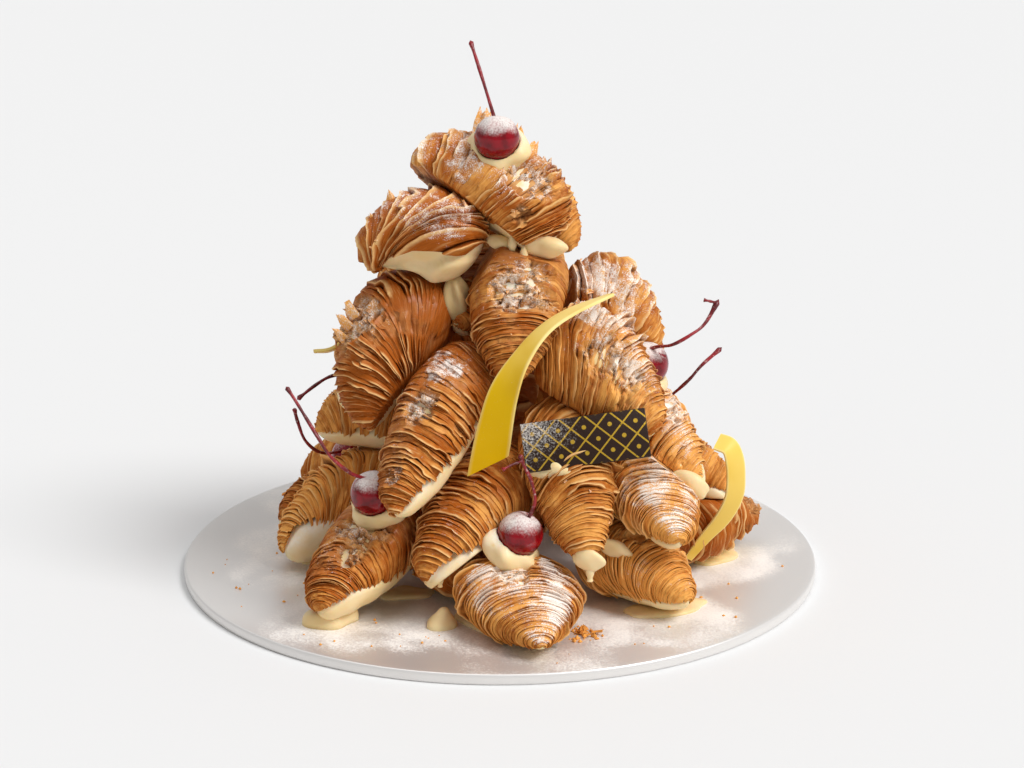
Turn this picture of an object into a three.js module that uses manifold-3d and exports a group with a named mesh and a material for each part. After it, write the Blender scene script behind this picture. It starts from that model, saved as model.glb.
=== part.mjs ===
// A tower of cream-filled lobster-tail pastries on a round cake board, dressed with stemmed
// cherries, yellow chocolate curls and a dark chocolate plaque.
// Millimetres, +Z up. The origin is the middle of the board's underside, and -Y is the front.
import * as THREE from "three";
import { mergeVertices } from "three/addons/utils/BufferGeometryUtils.js";
import Module from "manifold-3d";

const wasm = await Module();
wasm.setup();

// ---- Driving dimensions ----------------------------------------------------------------------
const BOARD_RADIUS = 152.5; // a 12 inch board
const BOARD_THICK = 5;
const BOARD_EDGE = 0.8; // rounding of the foil over the top edge
const GAP = 0.3; // air between touching pieces
const CHERRY_RADIUS = 10.2;
const STEM_RADIUS = 0.9;
const ROSETTE = { radius: 14, high: 10, ridges: 5, depth: 0.1 };
const CURL_THICK = 1.8;
const SLANTED = 0.2; // share of a curl over which its slanted end evens out
const PLAQUE = { long: 56, high: 22, thick: 3 };

// A pastry's form, in shares of its length and of its girth (half its width).
const FORM = {
  widest: 0.34, // where along its length it is fattest
  taper: 0.48, // how much thinner it is just before the tip
  flat: 0.9, // height against width
  sides: 11,
  plates: 5, // steps of laminated dough between the mouth and the tip
  plateStep: 0.05, // height of a step, in girths
  mouth: 0.1, // the open end, filled with cream
  lumps: 0.05, // unevenness
};

// Every pastry runs from its butt, the wide open end, to its tip. Its belly is the side that is slit
// and shows the filling, bend is how far its back bows out, and gape the slit's half angle in degrees.
const PASTRIES = [
  // on the board
  {
    name: "front",
    butt: [3, -75, 21.5],
    tip: [19, -140, 13],
    belly: [0, 0, -1],
    girth: 27.5,
    bend: 1,
    gape: 36,
    flat: 0.62,
    taper: 0.74,
  },
  {
    name: "front_left",
    butt: [-42, -40, 37],
    tip: [-79, -105, 16],
    belly: [0.3, -0.4, -1],
    girth: 22.5,
    bend: 4,
    gape: 44,
  },
  {
    name: "left",
    butt: [-46, 8, 42],
    tip: [-102, -27, 15.5],
    belly: [0.8, -0.6, -0.7],
    girth: 21.5,
    bend: 5,
    gape: 44,
  },
  {
    name: "left_rear",
    butt: [-57, 38, 25.5],
    tip: [-108, 12, 16],
    belly: [0.1, -0.4, -1],
    girth: 18.5,
    bend: 4,
    gape: 38,
    plates: 4,
  },
  {
    name: "left_far",
    butt: [-54, 62, 27],
    tip: [-102, 76, 16],
    belly: [-0.2, -0.4, -1],
    girth: 20,
    bend: 4,
    gape: 36,
    plates: 4,
  },
  {
    name: "front_low",
    butt: [-15, -78, 22],
    tip: [-36, -14, 24],
    belly: [0, 0, -1],
    girth: 17,
    bend: 1,
    gape: 30,
    plates: 2,
  },
  {
    name: "front_right",
    butt: [42, -44, 24],
    tip: [85, -95, 17],
    belly: [-0.1, -0.2, -1],
    girth: 20,
    bend: 3,
    gape: 34,
  },
  {
    name: "right",
    butt: [81, -31, 23],
    tip: [124, 17, 18],
    belly: [0.2, -0.4, -1],
    girth: 18,
    bend: 3,
    gape: 32,
  },
  {
    name: "right_rear",
    butt: [56, 30, 27],
    tip: [112, 66, 16],
    belly: [0.2, 0.1, -1],
    girth: 21.5,
    bend: 4,
    gape: 36,
    plates: 4,
  },
  {
    name: "rear_right",
    butt: [38, 50, 28],
    tip: [80, 110, 16],
    belly: [0.2, 0.2, -1],
    girth: 21.5,
    bend: 3,
    gape: 40,
    plates: 4,
  },
  {
    name: "rear",
    butt: [4, 56, 29],
    tip: [20, 130, 16],
    belly: [0.3, 0.1, -1],
    girth: 22,
    bend: 4,
    gape: 40,
    plates: 4,
  },
  {
    name: "rear_left",
    butt: [-26, 58, 28],
    tip: [-56, 122, 16],
    belly: [-0.3, 0.2, -1],
    girth: 21.5,
    bend: 4,
    gape: 34,
    plates: 4,
  },
  {
    name: "core_low",
    butt: [26, 8, 27],
    tip: [-42, 4, 24],
    belly: [0, 0.2, -1],
    girth: 21,
    bend: 2,
    gape: 30,
    plates: 2,
  },
  // second layer
  {
    name: "centre_left",
    butt: [12, -46, 66],
    tip: [-32, -102, 29],
    belly: [0.35, -0.3, -1],
    girth: 22,
    bend: 3,
    gape: 46,
    taper: 0.4,
  },
  {
    name: "plaque_bearer",
    butt: [26, -42, 92],
    tip: [40, -100, 38],
    belly: [0.3, 0.3, -1],
    girth: 21,
    bend: 5,
    gape: 34,
  },
  {
    name: "centre_right",
    butt: [58, -30, 68],
    tip: [80, -98, 46],
    belly: [-0.1, -0.2, -1],
    girth: 21.5,
    bend: 2,
    gape: 30,
  },
  {
    name: "right_mid",
    butt: [62, 8, 54],
    tip: [110, -16, 39],
    belly: [0.2, -0.7, -1],
    girth: 19,
    bend: 4,
    gape: 40,
  },
  {
    name: "right_rear_mid",
    butt: [40, 24, 70],
    tip: [92, 52, 48],
    belly: [0.2, 0.3, -1],
    girth: 22,
    bend: 4,
    gape: 36,
  },
  {
    name: "rear_mid",
    butt: [10, 34, 70],
    tip: [24, 104, 46],
    belly: [-0.2, 0.3, -1],
    girth: 22.5,
    bend: 4,
    gape: 38,
    plates: 4,
  },
  {
    name: "rear_left_mid",
    butt: [-30, 32, 68],
    tip: [-62, 94, 46],
    belly: [-0.2, 0.2, -1],
    girth: 22,
    bend: 4,
    gape: 36,
    plates: 4,
  },
  {
    name: "left_mid",
    butt: [-32, 6, 75],
    tip: [-88, 4, 65],
    belly: [0, -0.5, -1],
    girth: 21,
    bend: 4,
    gape: 46,
  },
  {
    name: "core_mid",
    butt: [-14, -14, 62],
    tip: [8, 6, 120],
    belly: [0, 1, 0],
    girth: 22,
    bend: 2,
    gape: 25,
    plates: 2,
  },
  // third layer
  {
    name: "long_left",
    butt: [-8, -44, 118],
    tip: [-46, -101, 60],
    belly: [0.75, -0.2, -0.7],
    girth: 21.5,
    bend: 3,
    gape: 36,
  },
  {
    name: "big_left",
    butt: [-23, -22, 140],
    tip: [-58, -54, 85],
    belly: [0.9, 0.1, -0.5],
    girth: 25.5,
    bend: 14,
    gape: 30,
  },
  {
    name: "big_right",
    butt: [22, -36, 126],
    tip: [70, -68, 87],
    belly: [-0.4, 0, -1],
    girth: 26,
    bend: 3,
    gape: 30,
  },
  {
    name: "right_lean",
    butt: [51, -14, 92],
    tip: [90, -64, 60],
    belly: [0.5, -0.5, -0.8],
    girth: 19.5,
    bend: 3,
    gape: 44,
  },
  {
    name: "rear_right_high",
    butt: [32, 14, 116],
    tip: [74, 44, 82],
    belly: [0.2, 0.3, -1],
    girth: 22.5,
    bend: 5,
    gape: 36,
    plates: 4,
  },
  {
    name: "rear_high",
    butt: [-6, 20, 114],
    tip: [-8, 82, 82],
    belly: [-0.2, 0.3, -1],
    girth: 22.5,
    bend: 5,
    gape: 38,
    plates: 4,
  },
  {
    name: "rear_left_high",
    butt: [-36, 14, 114],
    tip: [-76, 48, 84],
    belly: [-0.2, 0.1, -1],
    girth: 21.5,
    bend: 5,
    gape: 36,
    plates: 4,
  },
  // fourth layer
  {
    name: "centre_high",
    butt: [11, -20, 164],
    tip: [6, -78, 114],
    belly: [0.2, 0.2, -1],
    girth: 22.5,
    bend: 3,
    gape: 30,
  },
  {
    name: "clam",
    butt: [-9, -38, 165],
    tip: [-61, -37, 157],
    belly: [0.1, -0.15, -1],
    girth: 23,
    bend: 11,
    gape: 30,
  },
  {
    name: "right_high",
    butt: [32, -12, 143],
    tip: [71, -16, 105],
    belly: [-0.4, 0, -1],
    girth: 21,
    bend: 6,
    gape: 26,
  },
  {
    name: "rear_top",
    butt: [4, 6, 164],
    tip: [14, 58, 118],
    belly: [0.2, 0.2, -1],
    girth: 22.5,
    bend: 5,
    gape: 36,
    plates: 4,
  },
  {
    name: "rear_left_top",
    butt: [-20, 12, 156],
    tip: [-52, 44, 120],
    belly: [0, 0.2, -1],
    girth: 21,
    bend: 5,
    gape: 36,
    plates: 4,
  },
  {
    name: "core_high",
    butt: [4, 2, 140],
    tip: [-21, -42, 131],
    belly: [0, 0, -1],
    girth: 18,
    bend: 1,
    gape: 25,
    flat: 1,
    plates: 2,
  },
  // the crown
  {
    name: "crown",
    butt: [24, -36, 169],
    tip: [-40, -13, 199],
    belly: [-0.4, 0, -1],
    girth: 26,
    bend: 9,
    gape: 36,
    taper: 0.34,
  },
  {
    name: "crown_right",
    butt: [-6, 10, 183],
    tip: [34, -4, 157],
    belly: [-0.6, 0, -1],
    girth: 20.5,
    bend: 6,
    gape: 34,
  },
];

// Cherries sit on piped cream, whose middle is the bed. A stem is a line of points from the cherry
// outward, and some stems fork.
const CHERRIES = [
  {
    name: "top",
    at: [-1, -39, 216.4],
    bed: [0, -34, 210],
    stem: [
      [-1, -37, 221],
      [-7.6, -31, 242],
      [-13, -22, 257.4],
    ],
  },
  {
    name: "left",
    at: [-57, -76, 61],
    bed: [-54, -71.5, 54],
    stem: [
      [-59, -77, 68],
      [-66, -80, 71.5],
      [-75, -82, 80],
      [-81, -80, 89],
      [-91, -72, 103],
      [-95.5, -69, 109],
    ],
  },
  {
    name: "front",
    at: [9.5, -94, 48],
    bed: [5, -92, 40],
    stem: [
      [13, -94, 55],
      [16, -98, 65],
      [14, -98, 75],
      [11.5, -97, 80],
      [9, -96, 86],
    ],
    fork: [
      [10.5, -96.5, 83],
      [6, -100, 82.5],
      [1.6, -103, 81],
    ],
  },
  {
    name: "right",
    at: [68, -33, 109.5],
    bed: [65, -32, 103],
    stem: [
      [69.5, -35, 117],
      [73, -40, 119.5],
      [79, -44, 121.5],
      [87, -44, 126],
      [94, -40, 130.5],
      [100.6, -34, 140.4],
    ],
    fork: [
      [99.8, -34.5, 138.5],
      [97, -37, 140],
      [93.4, -38, 141],
    ],
  },
  {
    name: "right_rear",
    at: [75, 6, 73],
    bed: [74, 7, 66],
    stem: [
      [78, 3, 80],
      [84, -4, 87.5],
      [90, -6, 94],
      [96, -4, 100.5],
      [105.5, 0, 108],
    ],
  },
  {
    name: "left_low",
    at: [-73, 28, 44],
    bed: [-71, 28, 36.5],
    stem: [
      [-77, 22, 49],
      [-86, 4, 54],
      [-92.6, -6, 63],
      [-96, -8, 73],
      [-97.5, -10, 81],
    ],
  },
  {
    name: "left_rear",
    at: [-67, -7, 96],
    bed: [-64, -6, 89],
    stem: [
      [-73, -10, 98],
      [-80, -14, 97.5],
      [-86.5, -20, 95],
      [-94.4, -28, 90.5],
    ],
  },
];

// Other cream: a swirl between two pastries, the bed of the plaque and a drop on the board.
const CREAM = [
  { name: "cream_swirl", at: [-20, -38, 142], half: [6, 8, 11] },
  { name: "cream_plaque", at: [24, -84, 75.5], half: [13, 6, 5.5] },
  { name: "cream_drop", at: [-25.7, -96, 5.3], half: [7.3, 7.3, 7], peak: 0.4 },
];

// A curl is a band along a line of middles. across points to its other edge, and slant is how much
// farther that edge starts along the band.
const CURLS = [
  {
    name: "curl_front",
    slant: 12.5,
    middles: [
      [-5, -84, 76.7],
      [-2, -89, 94],
      [2, -92, 112],
      [9, -91, 127],
      [19, -84, 138.5],
      [32, -74, 145],
      [50, -58, 148.5],
    ],
    across: [
      [1, 0.1, 0.1],
      [1, -0.3, 0.1],
      [0.9, -0.5, 0.1],
      [0.6, -0.8, 0],
      [0.3, -0.9, 0],
      [0.1, -1, 0],
      [0, -1, 0.1],
    ],
    widths: [17, 16, 14.5, 13, 12, 10, 5],
  },
  {
    name: "curl_right",
    middles: [
      [89, -34, 14],
      [96.6, -36, 25],
      [104.6, -38, 35.6],
      [109.3, -40, 46.7],
      [109.9, -41, 57],
      [109, -41, 65.5],
      [106.5, -40, 71.3],
      [101, -38, 73.2],
    ],
    across: [
      [0.7, 0.2, -0.6],
      [0.75, 0.25, -0.5],
      [0.88, 0.3, -0.3],
      [0.95, 0.33, 0],
      [0.93, 0.36, 0.1],
      [0.8, 0.4, 0.4],
      [0.45, 0.65, 0.6],
      [0, 0.8, 0.6],
    ],
    widths: [4, 6, 8.5, 9.5, 9.5, 9.5, 9.5, 9.5],
  },
  {
    name: "curl_left",
    middles: [
      [-88, -2, 106.5],
      [-80, -2, 107.5],
      [-72, 2, 112],
      [-66, 5, 118],
    ],
    across: [
      [0, -1, 0.4],
      [0, -1, 0.4],
      [0, -1, 0.3],
      [0, -1, 0.3],
    ],
    widths: [5, 9, 11, 11],
  },
];

const PLAQUE_PLACE = { at: [38.5, -84, 88.4], along: [1, 0.03, 0.13], up: [-0.1, 0.45, 1] };

// ---- Materials -------------------------------------------------------------------------------
const material = (color, roughness, metalness = 0) =>
  new THREE.MeshStandardMaterial({ color, roughness, metalness });
const MATERIALS = {
  pastry: material("#c98a45", 0.7),
  cream: material("#efe2b4", 0.45),
  cherry: material("#8e1026", 0.25),
  stem: material("#7d1a22", 0.5),
  yellow: material("#e6c61f", 0.4),
  dark: material("#2b1a17", 0.45),
  board: material("#d4cfcb", 0.35, 0.4),
};

// ---- Solids from moved vertices --------------------------------------------------------------
// A closed three.js geometry with every vertex sent through move, as a manifold-3d solid.
function solidOf(geometry, move = (p) => p) {
  const bare = new THREE.BufferGeometry();
  bare.setAttribute("position", geometry.getAttribute("position").clone());
  bare.setIndex(geometry.index);
  const welded = mergeVertices(bare, 1e-4);
  const place = welded.getAttribute("position");
  const point = new THREE.Vector3();
  for (let i = 0; i < place.count; i++) {
    point.fromBufferAttribute(place, i);
    const moved = move(point.clone());
    place.setXYZ(i, moved.x, moved.y, moved.z);
  }
  return new wasm.Manifold(
    new wasm.Mesh({
      numProp: 3,
      vertProperties: place.array,
      triVerts: new Uint32Array(dropFlat(welded.index.array)),
    }),
  );
}

// The triangles that still have three corners after the seam and the poles are welded.
function dropFlat(index) {
  const kept = [];
  for (let i = 0; i < index.length; i += 3) {
    const [a, b, c] = index.slice(i, i + 3);
    if (a !== b && b !== c && c !== a) kept.push(a, b, c);
  }
  return kept;
}

function geometryOf(solid) {
  const mesh = solid.getMesh();
  const geometry = new THREE.BufferGeometry();
  geometry.setAttribute("position", new THREE.BufferAttribute(mesh.vertProperties, 3));
  geometry.setIndex(new THREE.BufferAttribute(mesh.triVerts, 1));
  geometry.computeVertexNormals();
  return geometry;
}

// ---- A lobster-tail pastry -------------------------------------------------------------------
const fraction = (x) => x - Math.floor(x);
const draw = (seed, k) => fraction(Math.sin(seed * 12.9898 + k * 78.233) * 43758.5453);

// Shares of the girth along the length: a domed butt, a long taper and a blunt tip.
function profile(pastry, s) {
  if (s < FORM.widest) {
    const q = (FORM.widest - s) / FORM.widest;
    return Math.pow(1 - Math.pow(q, 2.6), 0.5);
  }
  const t = (s - FORM.widest) / (1 - FORM.widest);
  const taper = pastry.taper ?? FORM.taper;
  return (1 - taper * Math.pow(t, 1.3)) * Math.pow(1 - Math.pow(t, 5), 0.5);
}

// The bowed centre line and its frame at share s of the length.
function spine(pastry, s) {
  const butt = new THREE.Vector3(...pastry.butt);
  const chord = new THREE.Vector3(...pastry.tip).sub(butt);
  const along = chord.clone().normalize();
  const belly = new THREE.Vector3(...pastry.belly);
  belly.addScaledVector(along, -belly.dot(along)).normalize();
  const centre = butt.clone().addScaledVector(chord, s);
  centre.addScaledVector(belly, -4 * pastry.bend * s * (1 - s));
  const tangent = chord.clone().addScaledVector(belly, -4 * pastry.bend * (1 - 2 * s)).normalize();
  belly.addScaledVector(tangent, -belly.dot(tangent)).normalize();
  return { centre, tangent, belly, side: tangent.clone().cross(belly) };
}

// Slow swellings that make no two pastries alike. turn is the angle from the belly.
function lumps(seed, s, turn) {
  const a = Math.sin(2 * turn + 6.3 * draw(seed, 1) + 3 * s);
  const b = Math.sin(3 * turn - 5 * s + 6.3 * draw(seed, 2));
  const c = Math.sin(turn + 9 * s + 6.3 * draw(seed, 3));
  return 1 + FORM.lumps * (0.5 * a + 0.3 * b + 0.5 * c);
}

// The angles of one ring's corners, counted from the belly: the filling, its two lips, the shell.
function ringAngles(gape) {
  const shell = FORM.sides - 5;
  const angles = [0, 0.62 * gape, gape];
  for (let k = 1; k <= shell; k++) angles.push(gape + ((2 * Math.PI - 2 * gape) * k) / (shell + 1));
  return angles.concat([2 * Math.PI - gape, 2 * Math.PI - 0.62 * gape]);
}

// Where along the length the rings lie: the mouth, then a lip and a foot for each plate.
function ringPlaces(plates) {
  const places = [[0, 0], [0.35 * FORM.mouth, 0]];
  for (let k = 0; k < plates; k++) {
    const s = FORM.mouth + 0.02 + (0.84 * k) / plates;
    places.push([s, -1], [s + 0.15 / plates, 1]);
  }
  return places.concat([[0.93, 0], [1, 0]]);
}

function pastrySolid(pastry, seed, swell = 0) {
  const gape = THREE.MathUtils.degToRad(pastry.gape);
  const angles = ringAngles(gape);
  const places = ringPlaces(pastry.plates ?? FORM.plates);
  const ball = new THREE.SphereGeometry(1, FORM.sides, places.length - 1);
  const move = (p) => {
    const ring = Math.round((Math.acos(THREE.MathUtils.clamp(p.y, -1, 1)) / Math.PI) * (places.length - 1));
    const turned = Math.atan2(p.z, p.x) / (2 * Math.PI);
    const corner = Math.round((turned + 1) * FORM.sides) % FORM.sides;
    const [s, step] = places[ring];
    const turn = angles[corner];
    const { centre, belly, side } = spine(pastry, s);
    let radius = pastry.girth * profile(pastry, s) * lumps(seed, s, turn);
    const inFilling = corner <= 1 || corner === FORM.sides - 1;
    if (!inFilling) radius += step * FORM.plateStep * pastry.girth;
    if (corner === 1 || corner === FORM.sides - 1) radius *= 0.93;
    if (radius > 0) radius += swell;
    return centre
      .addScaledVector(belly, radius * Math.cos(turn) * (pastry.flat ?? FORM.flat))
      .addScaledVector(side, radius * Math.sin(turn));
  };
  return solidOf(ball, move);
}

// Two pastries that press on each other share a flat patch: the plane between their nearest rings.
const SPINE_SAMPLES = 24;
function contactPlane(a, b) {
  let best = null;
  for (let i = 0; i <= SPINE_SAMPLES; i++) {
    const sa = i / SPINE_SAMPLES;
    const pa = spine(a, sa).centre;
    const ra = a.girth * profile(a, sa);
    for (let j = 0; j <= SPINE_SAMPLES; j++) {
      const sb = j / SPINE_SAMPLES;
      const pb = spine(b, sb).centre;
      const rb = b.girth * profile(b, sb);
      const space = pa.distanceTo(pb) - ra - rb;
      if (!best || space < best.space) best = { space, pa, pb, ra, rb };
    }
  }
  const normal = best.pb.clone().sub(best.pa).normalize();
  const middle = best.pa.clone().addScaledVector(normal, best.ra + best.space / 2);
  return { normal, offset: normal.dot(middle), space: best.space };
}

// A cherry presses a flat patch on a pastry in the same way.
function cherryPlane(pastry, at) {
  let best = null;
  for (let i = 0; i <= SPINE_SAMPLES; i++) {
    const s = i / SPINE_SAMPLES;
    const point = spine(pastry, s).centre;
    const radius = pastry.girth * profile(pastry, s);
    const space = point.distanceTo(at) - radius - CHERRY_RADIUS;
    if (!best || space < best.space) best = { space, point, radius };
  }
  const normal = at.clone().sub(best.point).normalize();
  const middle = best.point.clone().addScaledVector(normal, best.radius + best.space / 2);
  return { normal, offset: normal.dot(middle), space: best.space };
}

// Trims the solid under the plane and the solid over it so that air is left between.
function part(under, over, { normal, offset }) {
  const up = normal.toArray();
  const down = normal.clone().negate().toArray();
  return [under.trimByPlane(down, GAP / 2 - offset), over.trimByPlane(up, offset + GAP / 2)];
}

const NEAR = 4; // mm between two nominal surfaces at which their relief may still touch
function trimmed(pastries, cherries) {
  for (let i = 0; i < PASTRIES.length; i++) {
    for (let j = i + 1; j < PASTRIES.length; j++) {
      const plane = contactPlane(PASTRIES[i], PASTRIES[j]);
      if (plane.space < NEAR) [pastries[i], pastries[j]] = part(pastries[i], pastries[j], plane);
    }
    for (let j = 0; j < CHERRIES.length; j++) {
      const plane = cherryPlane(PASTRIES[i], vec(CHERRIES[j].at));
      if (plane.space < NEAR / 2) [pastries[i], cherries[j]] = part(pastries[i], cherries[j], plane);
    }
    pastries[i] = pastries[i].trimByPlane([0, 0, 1], BOARD_THICK + GAP);
  }
}

// ---- Cherries, cream, curls and the plaque ---------------------------------------------------
const vec = (p) => new THREE.Vector3(...p);

// A closed round bar through the points, radius(s) thick at share s of its length.
function barSolid(points, radius, steps) {
  const curve = new THREE.CatmullRomCurve3(points.map(vec));
  const bar = new THREE.CylinderGeometry(1, 1, 1, 5, steps);
  const up = new THREE.Vector3(0.3, 1, 0.2);
  return solidOf(bar, (p) => {
    const s = 0.5 + p.y;
    const tangent = curve.getTangent(s);
    const a = up.clone().cross(tangent).normalize();
    const b = tangent.clone().cross(a);
    return curve.getPoint(s).addScaledVector(b, p.x * radius(s)).addScaledVector(a, p.z * radius(s));
  });
}

function berrySolid({ at }, swell = 0) {
  const ball = new THREE.SphereGeometry(CHERRY_RADIUS + swell, 10, 7);
  return solidOf(ball, (p) => p.add(vec(at)));
}

function stemSolid({ stem, fork }) {
  const thick = (s) => STEM_RADIUS * (1 + 0.9 * Math.pow(s, 8));
  const main = barSolid(stem, thick, 2 * stem.length);
  return fork ? main.add(barSolid(fork, () => STEM_RADIUS, 4)) : main;
}

// A piped dome whose ridges fan out. lean is its way up, and peak draws its top into a point.
function domeSolid(at, half, lean, ridges, peak = 0) {
  const ball = new THREE.SphereGeometry(1, 2 * ridges, 5);
  const turn = new THREE.Quaternion().setFromUnitVectors(new THREE.Vector3(0, 0, 1), vec(lean).normalize());
  return solidOf(ball, (p) => {
    const around = Math.atan2(p.z, p.x);
    const out = 1 + ROSETTE.depth * Math.cos(ridges * around);
    const rise = p.y * (p.y > 0.9 ? 1 + peak : 1);
    const local = new THREE.Vector3(p.x * out * half[0], -p.z * out * half[1], rise * half[2]);
    return local.applyQuaternion(turn).add(vec(at));
  });
}

// A band of even thickness, its edges given by the widths and the ways across.
function curlSolid({ middles, across, widths, slant = 0 }) {
  const steps = 4 * (middles.length - 1);
  const line = new THREE.CatmullRomCurve3(middles.map(vec));
  const ways = new THREE.CatmullRomCurve3(across.map(vec));
  const breadth = new THREE.CatmullRomCurve3(widths.map((w, i) => new THREE.Vector3(w, i, 0)));
  return solidOf(new THREE.BoxGeometry(1, 1, 1, 1, steps, 1), (p) => {
    const s = 0.5 + p.y;
    const tangent = line.getTangent(s);
    const way = ways.getPoint(s);
    way.addScaledVector(tangent, -way.dot(tangent)).normalize();
    const face = way.clone().cross(tangent);
    return line
      .getPoint(s)
      .addScaledVector(tangent, p.x * slant * Math.max(1 - s / SLANTED, 0))
      .addScaledVector(way, p.x * breadth.getPoint(s).x)
      .addScaledVector(face, p.z * CURL_THICK);
  });
}

function plaqueSolid(swell = 0) {
  const along = vec(PLAQUE_PLACE.along).normalize();
  const up = vec(PLAQUE_PLACE.up);
  up.addScaledVector(along, -up.dot(along)).normalize();
  const out = up.clone().cross(along).negate();
  const sizes = [PLAQUE.long, PLAQUE.high, PLAQUE.thick].map((size) => size + 2 * swell);
  const slab = new THREE.BoxGeometry(...sizes);
  return solidOf(slab, (p) =>
    vec(PLAQUE_PLACE.at).addScaledVector(along, p.x).addScaledVector(up, p.y).addScaledVector(out, p.z),
  );
}

// Soft cream gives way to whatever else it touches.
function sunk(cream, others) {
  const left = others.reduce((rest, other) => rest.subtract(other), cream);
  return left.decompose().reduce((most, piece) => (piece.volume() > most.volume() ? piece : most));
}

// ---- The object ------------------------------------------------------------------------------
const tower = new THREE.Group();
function addPiece(name, solid, look) {
  const mesh = new THREE.Mesh(geometryOf(solid), look);
  mesh.name = name;
  tower.add(mesh);
}

function boardSolid() {
  const edge = [
    [0, 0],
    [BOARD_RADIUS, 0],
    [BOARD_RADIUS, BOARD_THICK - BOARD_EDGE],
    [BOARD_RADIUS - BOARD_EDGE, BOARD_THICK],
    [0, BOARD_THICK],
  ].map(([r, z]) => new THREE.Vector2(r, z));
  const lathe = new THREE.LatheGeometry(edge, 48);
  return solidOf(lathe, (p) => new THREE.Vector3(p.x, -p.z, p.y));
}

const swollen = PASTRIES.map((pastry, i) => pastrySolid(pastry, i + 1, GAP));
const pastries = PASTRIES.map((pastry, i) => pastrySolid(pastry, i + 1));
const berries = CHERRIES.map((cherry) => berrySolid(cherry));
trimmed(pastries, berries);

addPiece("board", boardSolid(), MATERIALS.board);
pastries.forEach((solid, i) => addPiece("pastry_" + PASTRIES[i].name, solid, MATERIALS.pastry));
CHERRIES.forEach((cherry, i) => {
  const lean = vec(cherry.at).sub(vec(cherry.bed)).toArray();
  const half = [ROSETTE.radius, ROSETTE.radius, ROSETTE.high];
  const dome = domeSolid(cherry.bed, half, lean, ROSETTE.ridges);
  const others = [berrySolid(cherry, GAP), ...swollen];
  addPiece("cherry_" + cherry.name, berries[i].add(stemSolid(cherry)), MATERIALS.cherry);
  addPiece("rosette_" + cherry.name, sunk(dome, others), MATERIALS.cream);
});
for (const { name, at, half, peak } of CREAM) {
  const dome = domeSolid(at, half, [0, 0, 1], 4, peak);
  const seated = sunk(dome, [...swollen, plaqueSolid(GAP)]).trimByPlane([0, 0, 1], BOARD_THICK + GAP);
  addPiece(name, seated, MATERIALS.cream);
}
CURLS.forEach((curl) => addPiece(curl.name, curlSolid(curl), MATERIALS.yellow));
addPiece("plaque", plaqueSolid(), MATERIALS.dark);

export default tower;
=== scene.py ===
import math

import bmesh
import bpy
import numpy as np
from bpy.props import FloatProperty, FloatVectorProperty, PointerProperty
from mathutils import Matrix, Vector
from mathutils.bvhtree import BVHTree


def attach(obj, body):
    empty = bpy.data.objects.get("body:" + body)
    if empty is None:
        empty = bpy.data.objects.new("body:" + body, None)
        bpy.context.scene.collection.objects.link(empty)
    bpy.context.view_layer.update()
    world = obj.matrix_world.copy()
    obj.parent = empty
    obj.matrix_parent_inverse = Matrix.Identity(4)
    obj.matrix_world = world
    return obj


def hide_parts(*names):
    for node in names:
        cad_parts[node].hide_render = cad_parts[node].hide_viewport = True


bl_info = {
    "name": "Lobster tail tower",
    "version": (1, 0, 0),
    "blender": (4, 5, 0),
    "location": "View3D > Sidebar > Tower",
    "description": "Builds a tower of filled lobster-tail pastries on a round cake board",
    "category": "Add Mesh",
}

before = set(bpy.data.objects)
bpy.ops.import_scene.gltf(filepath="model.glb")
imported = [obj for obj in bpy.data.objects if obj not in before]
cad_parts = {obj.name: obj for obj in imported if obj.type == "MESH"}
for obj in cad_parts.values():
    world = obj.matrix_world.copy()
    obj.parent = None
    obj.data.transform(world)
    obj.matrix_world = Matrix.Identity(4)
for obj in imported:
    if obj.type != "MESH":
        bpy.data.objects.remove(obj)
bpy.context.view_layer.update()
MM = 0.001

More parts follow.
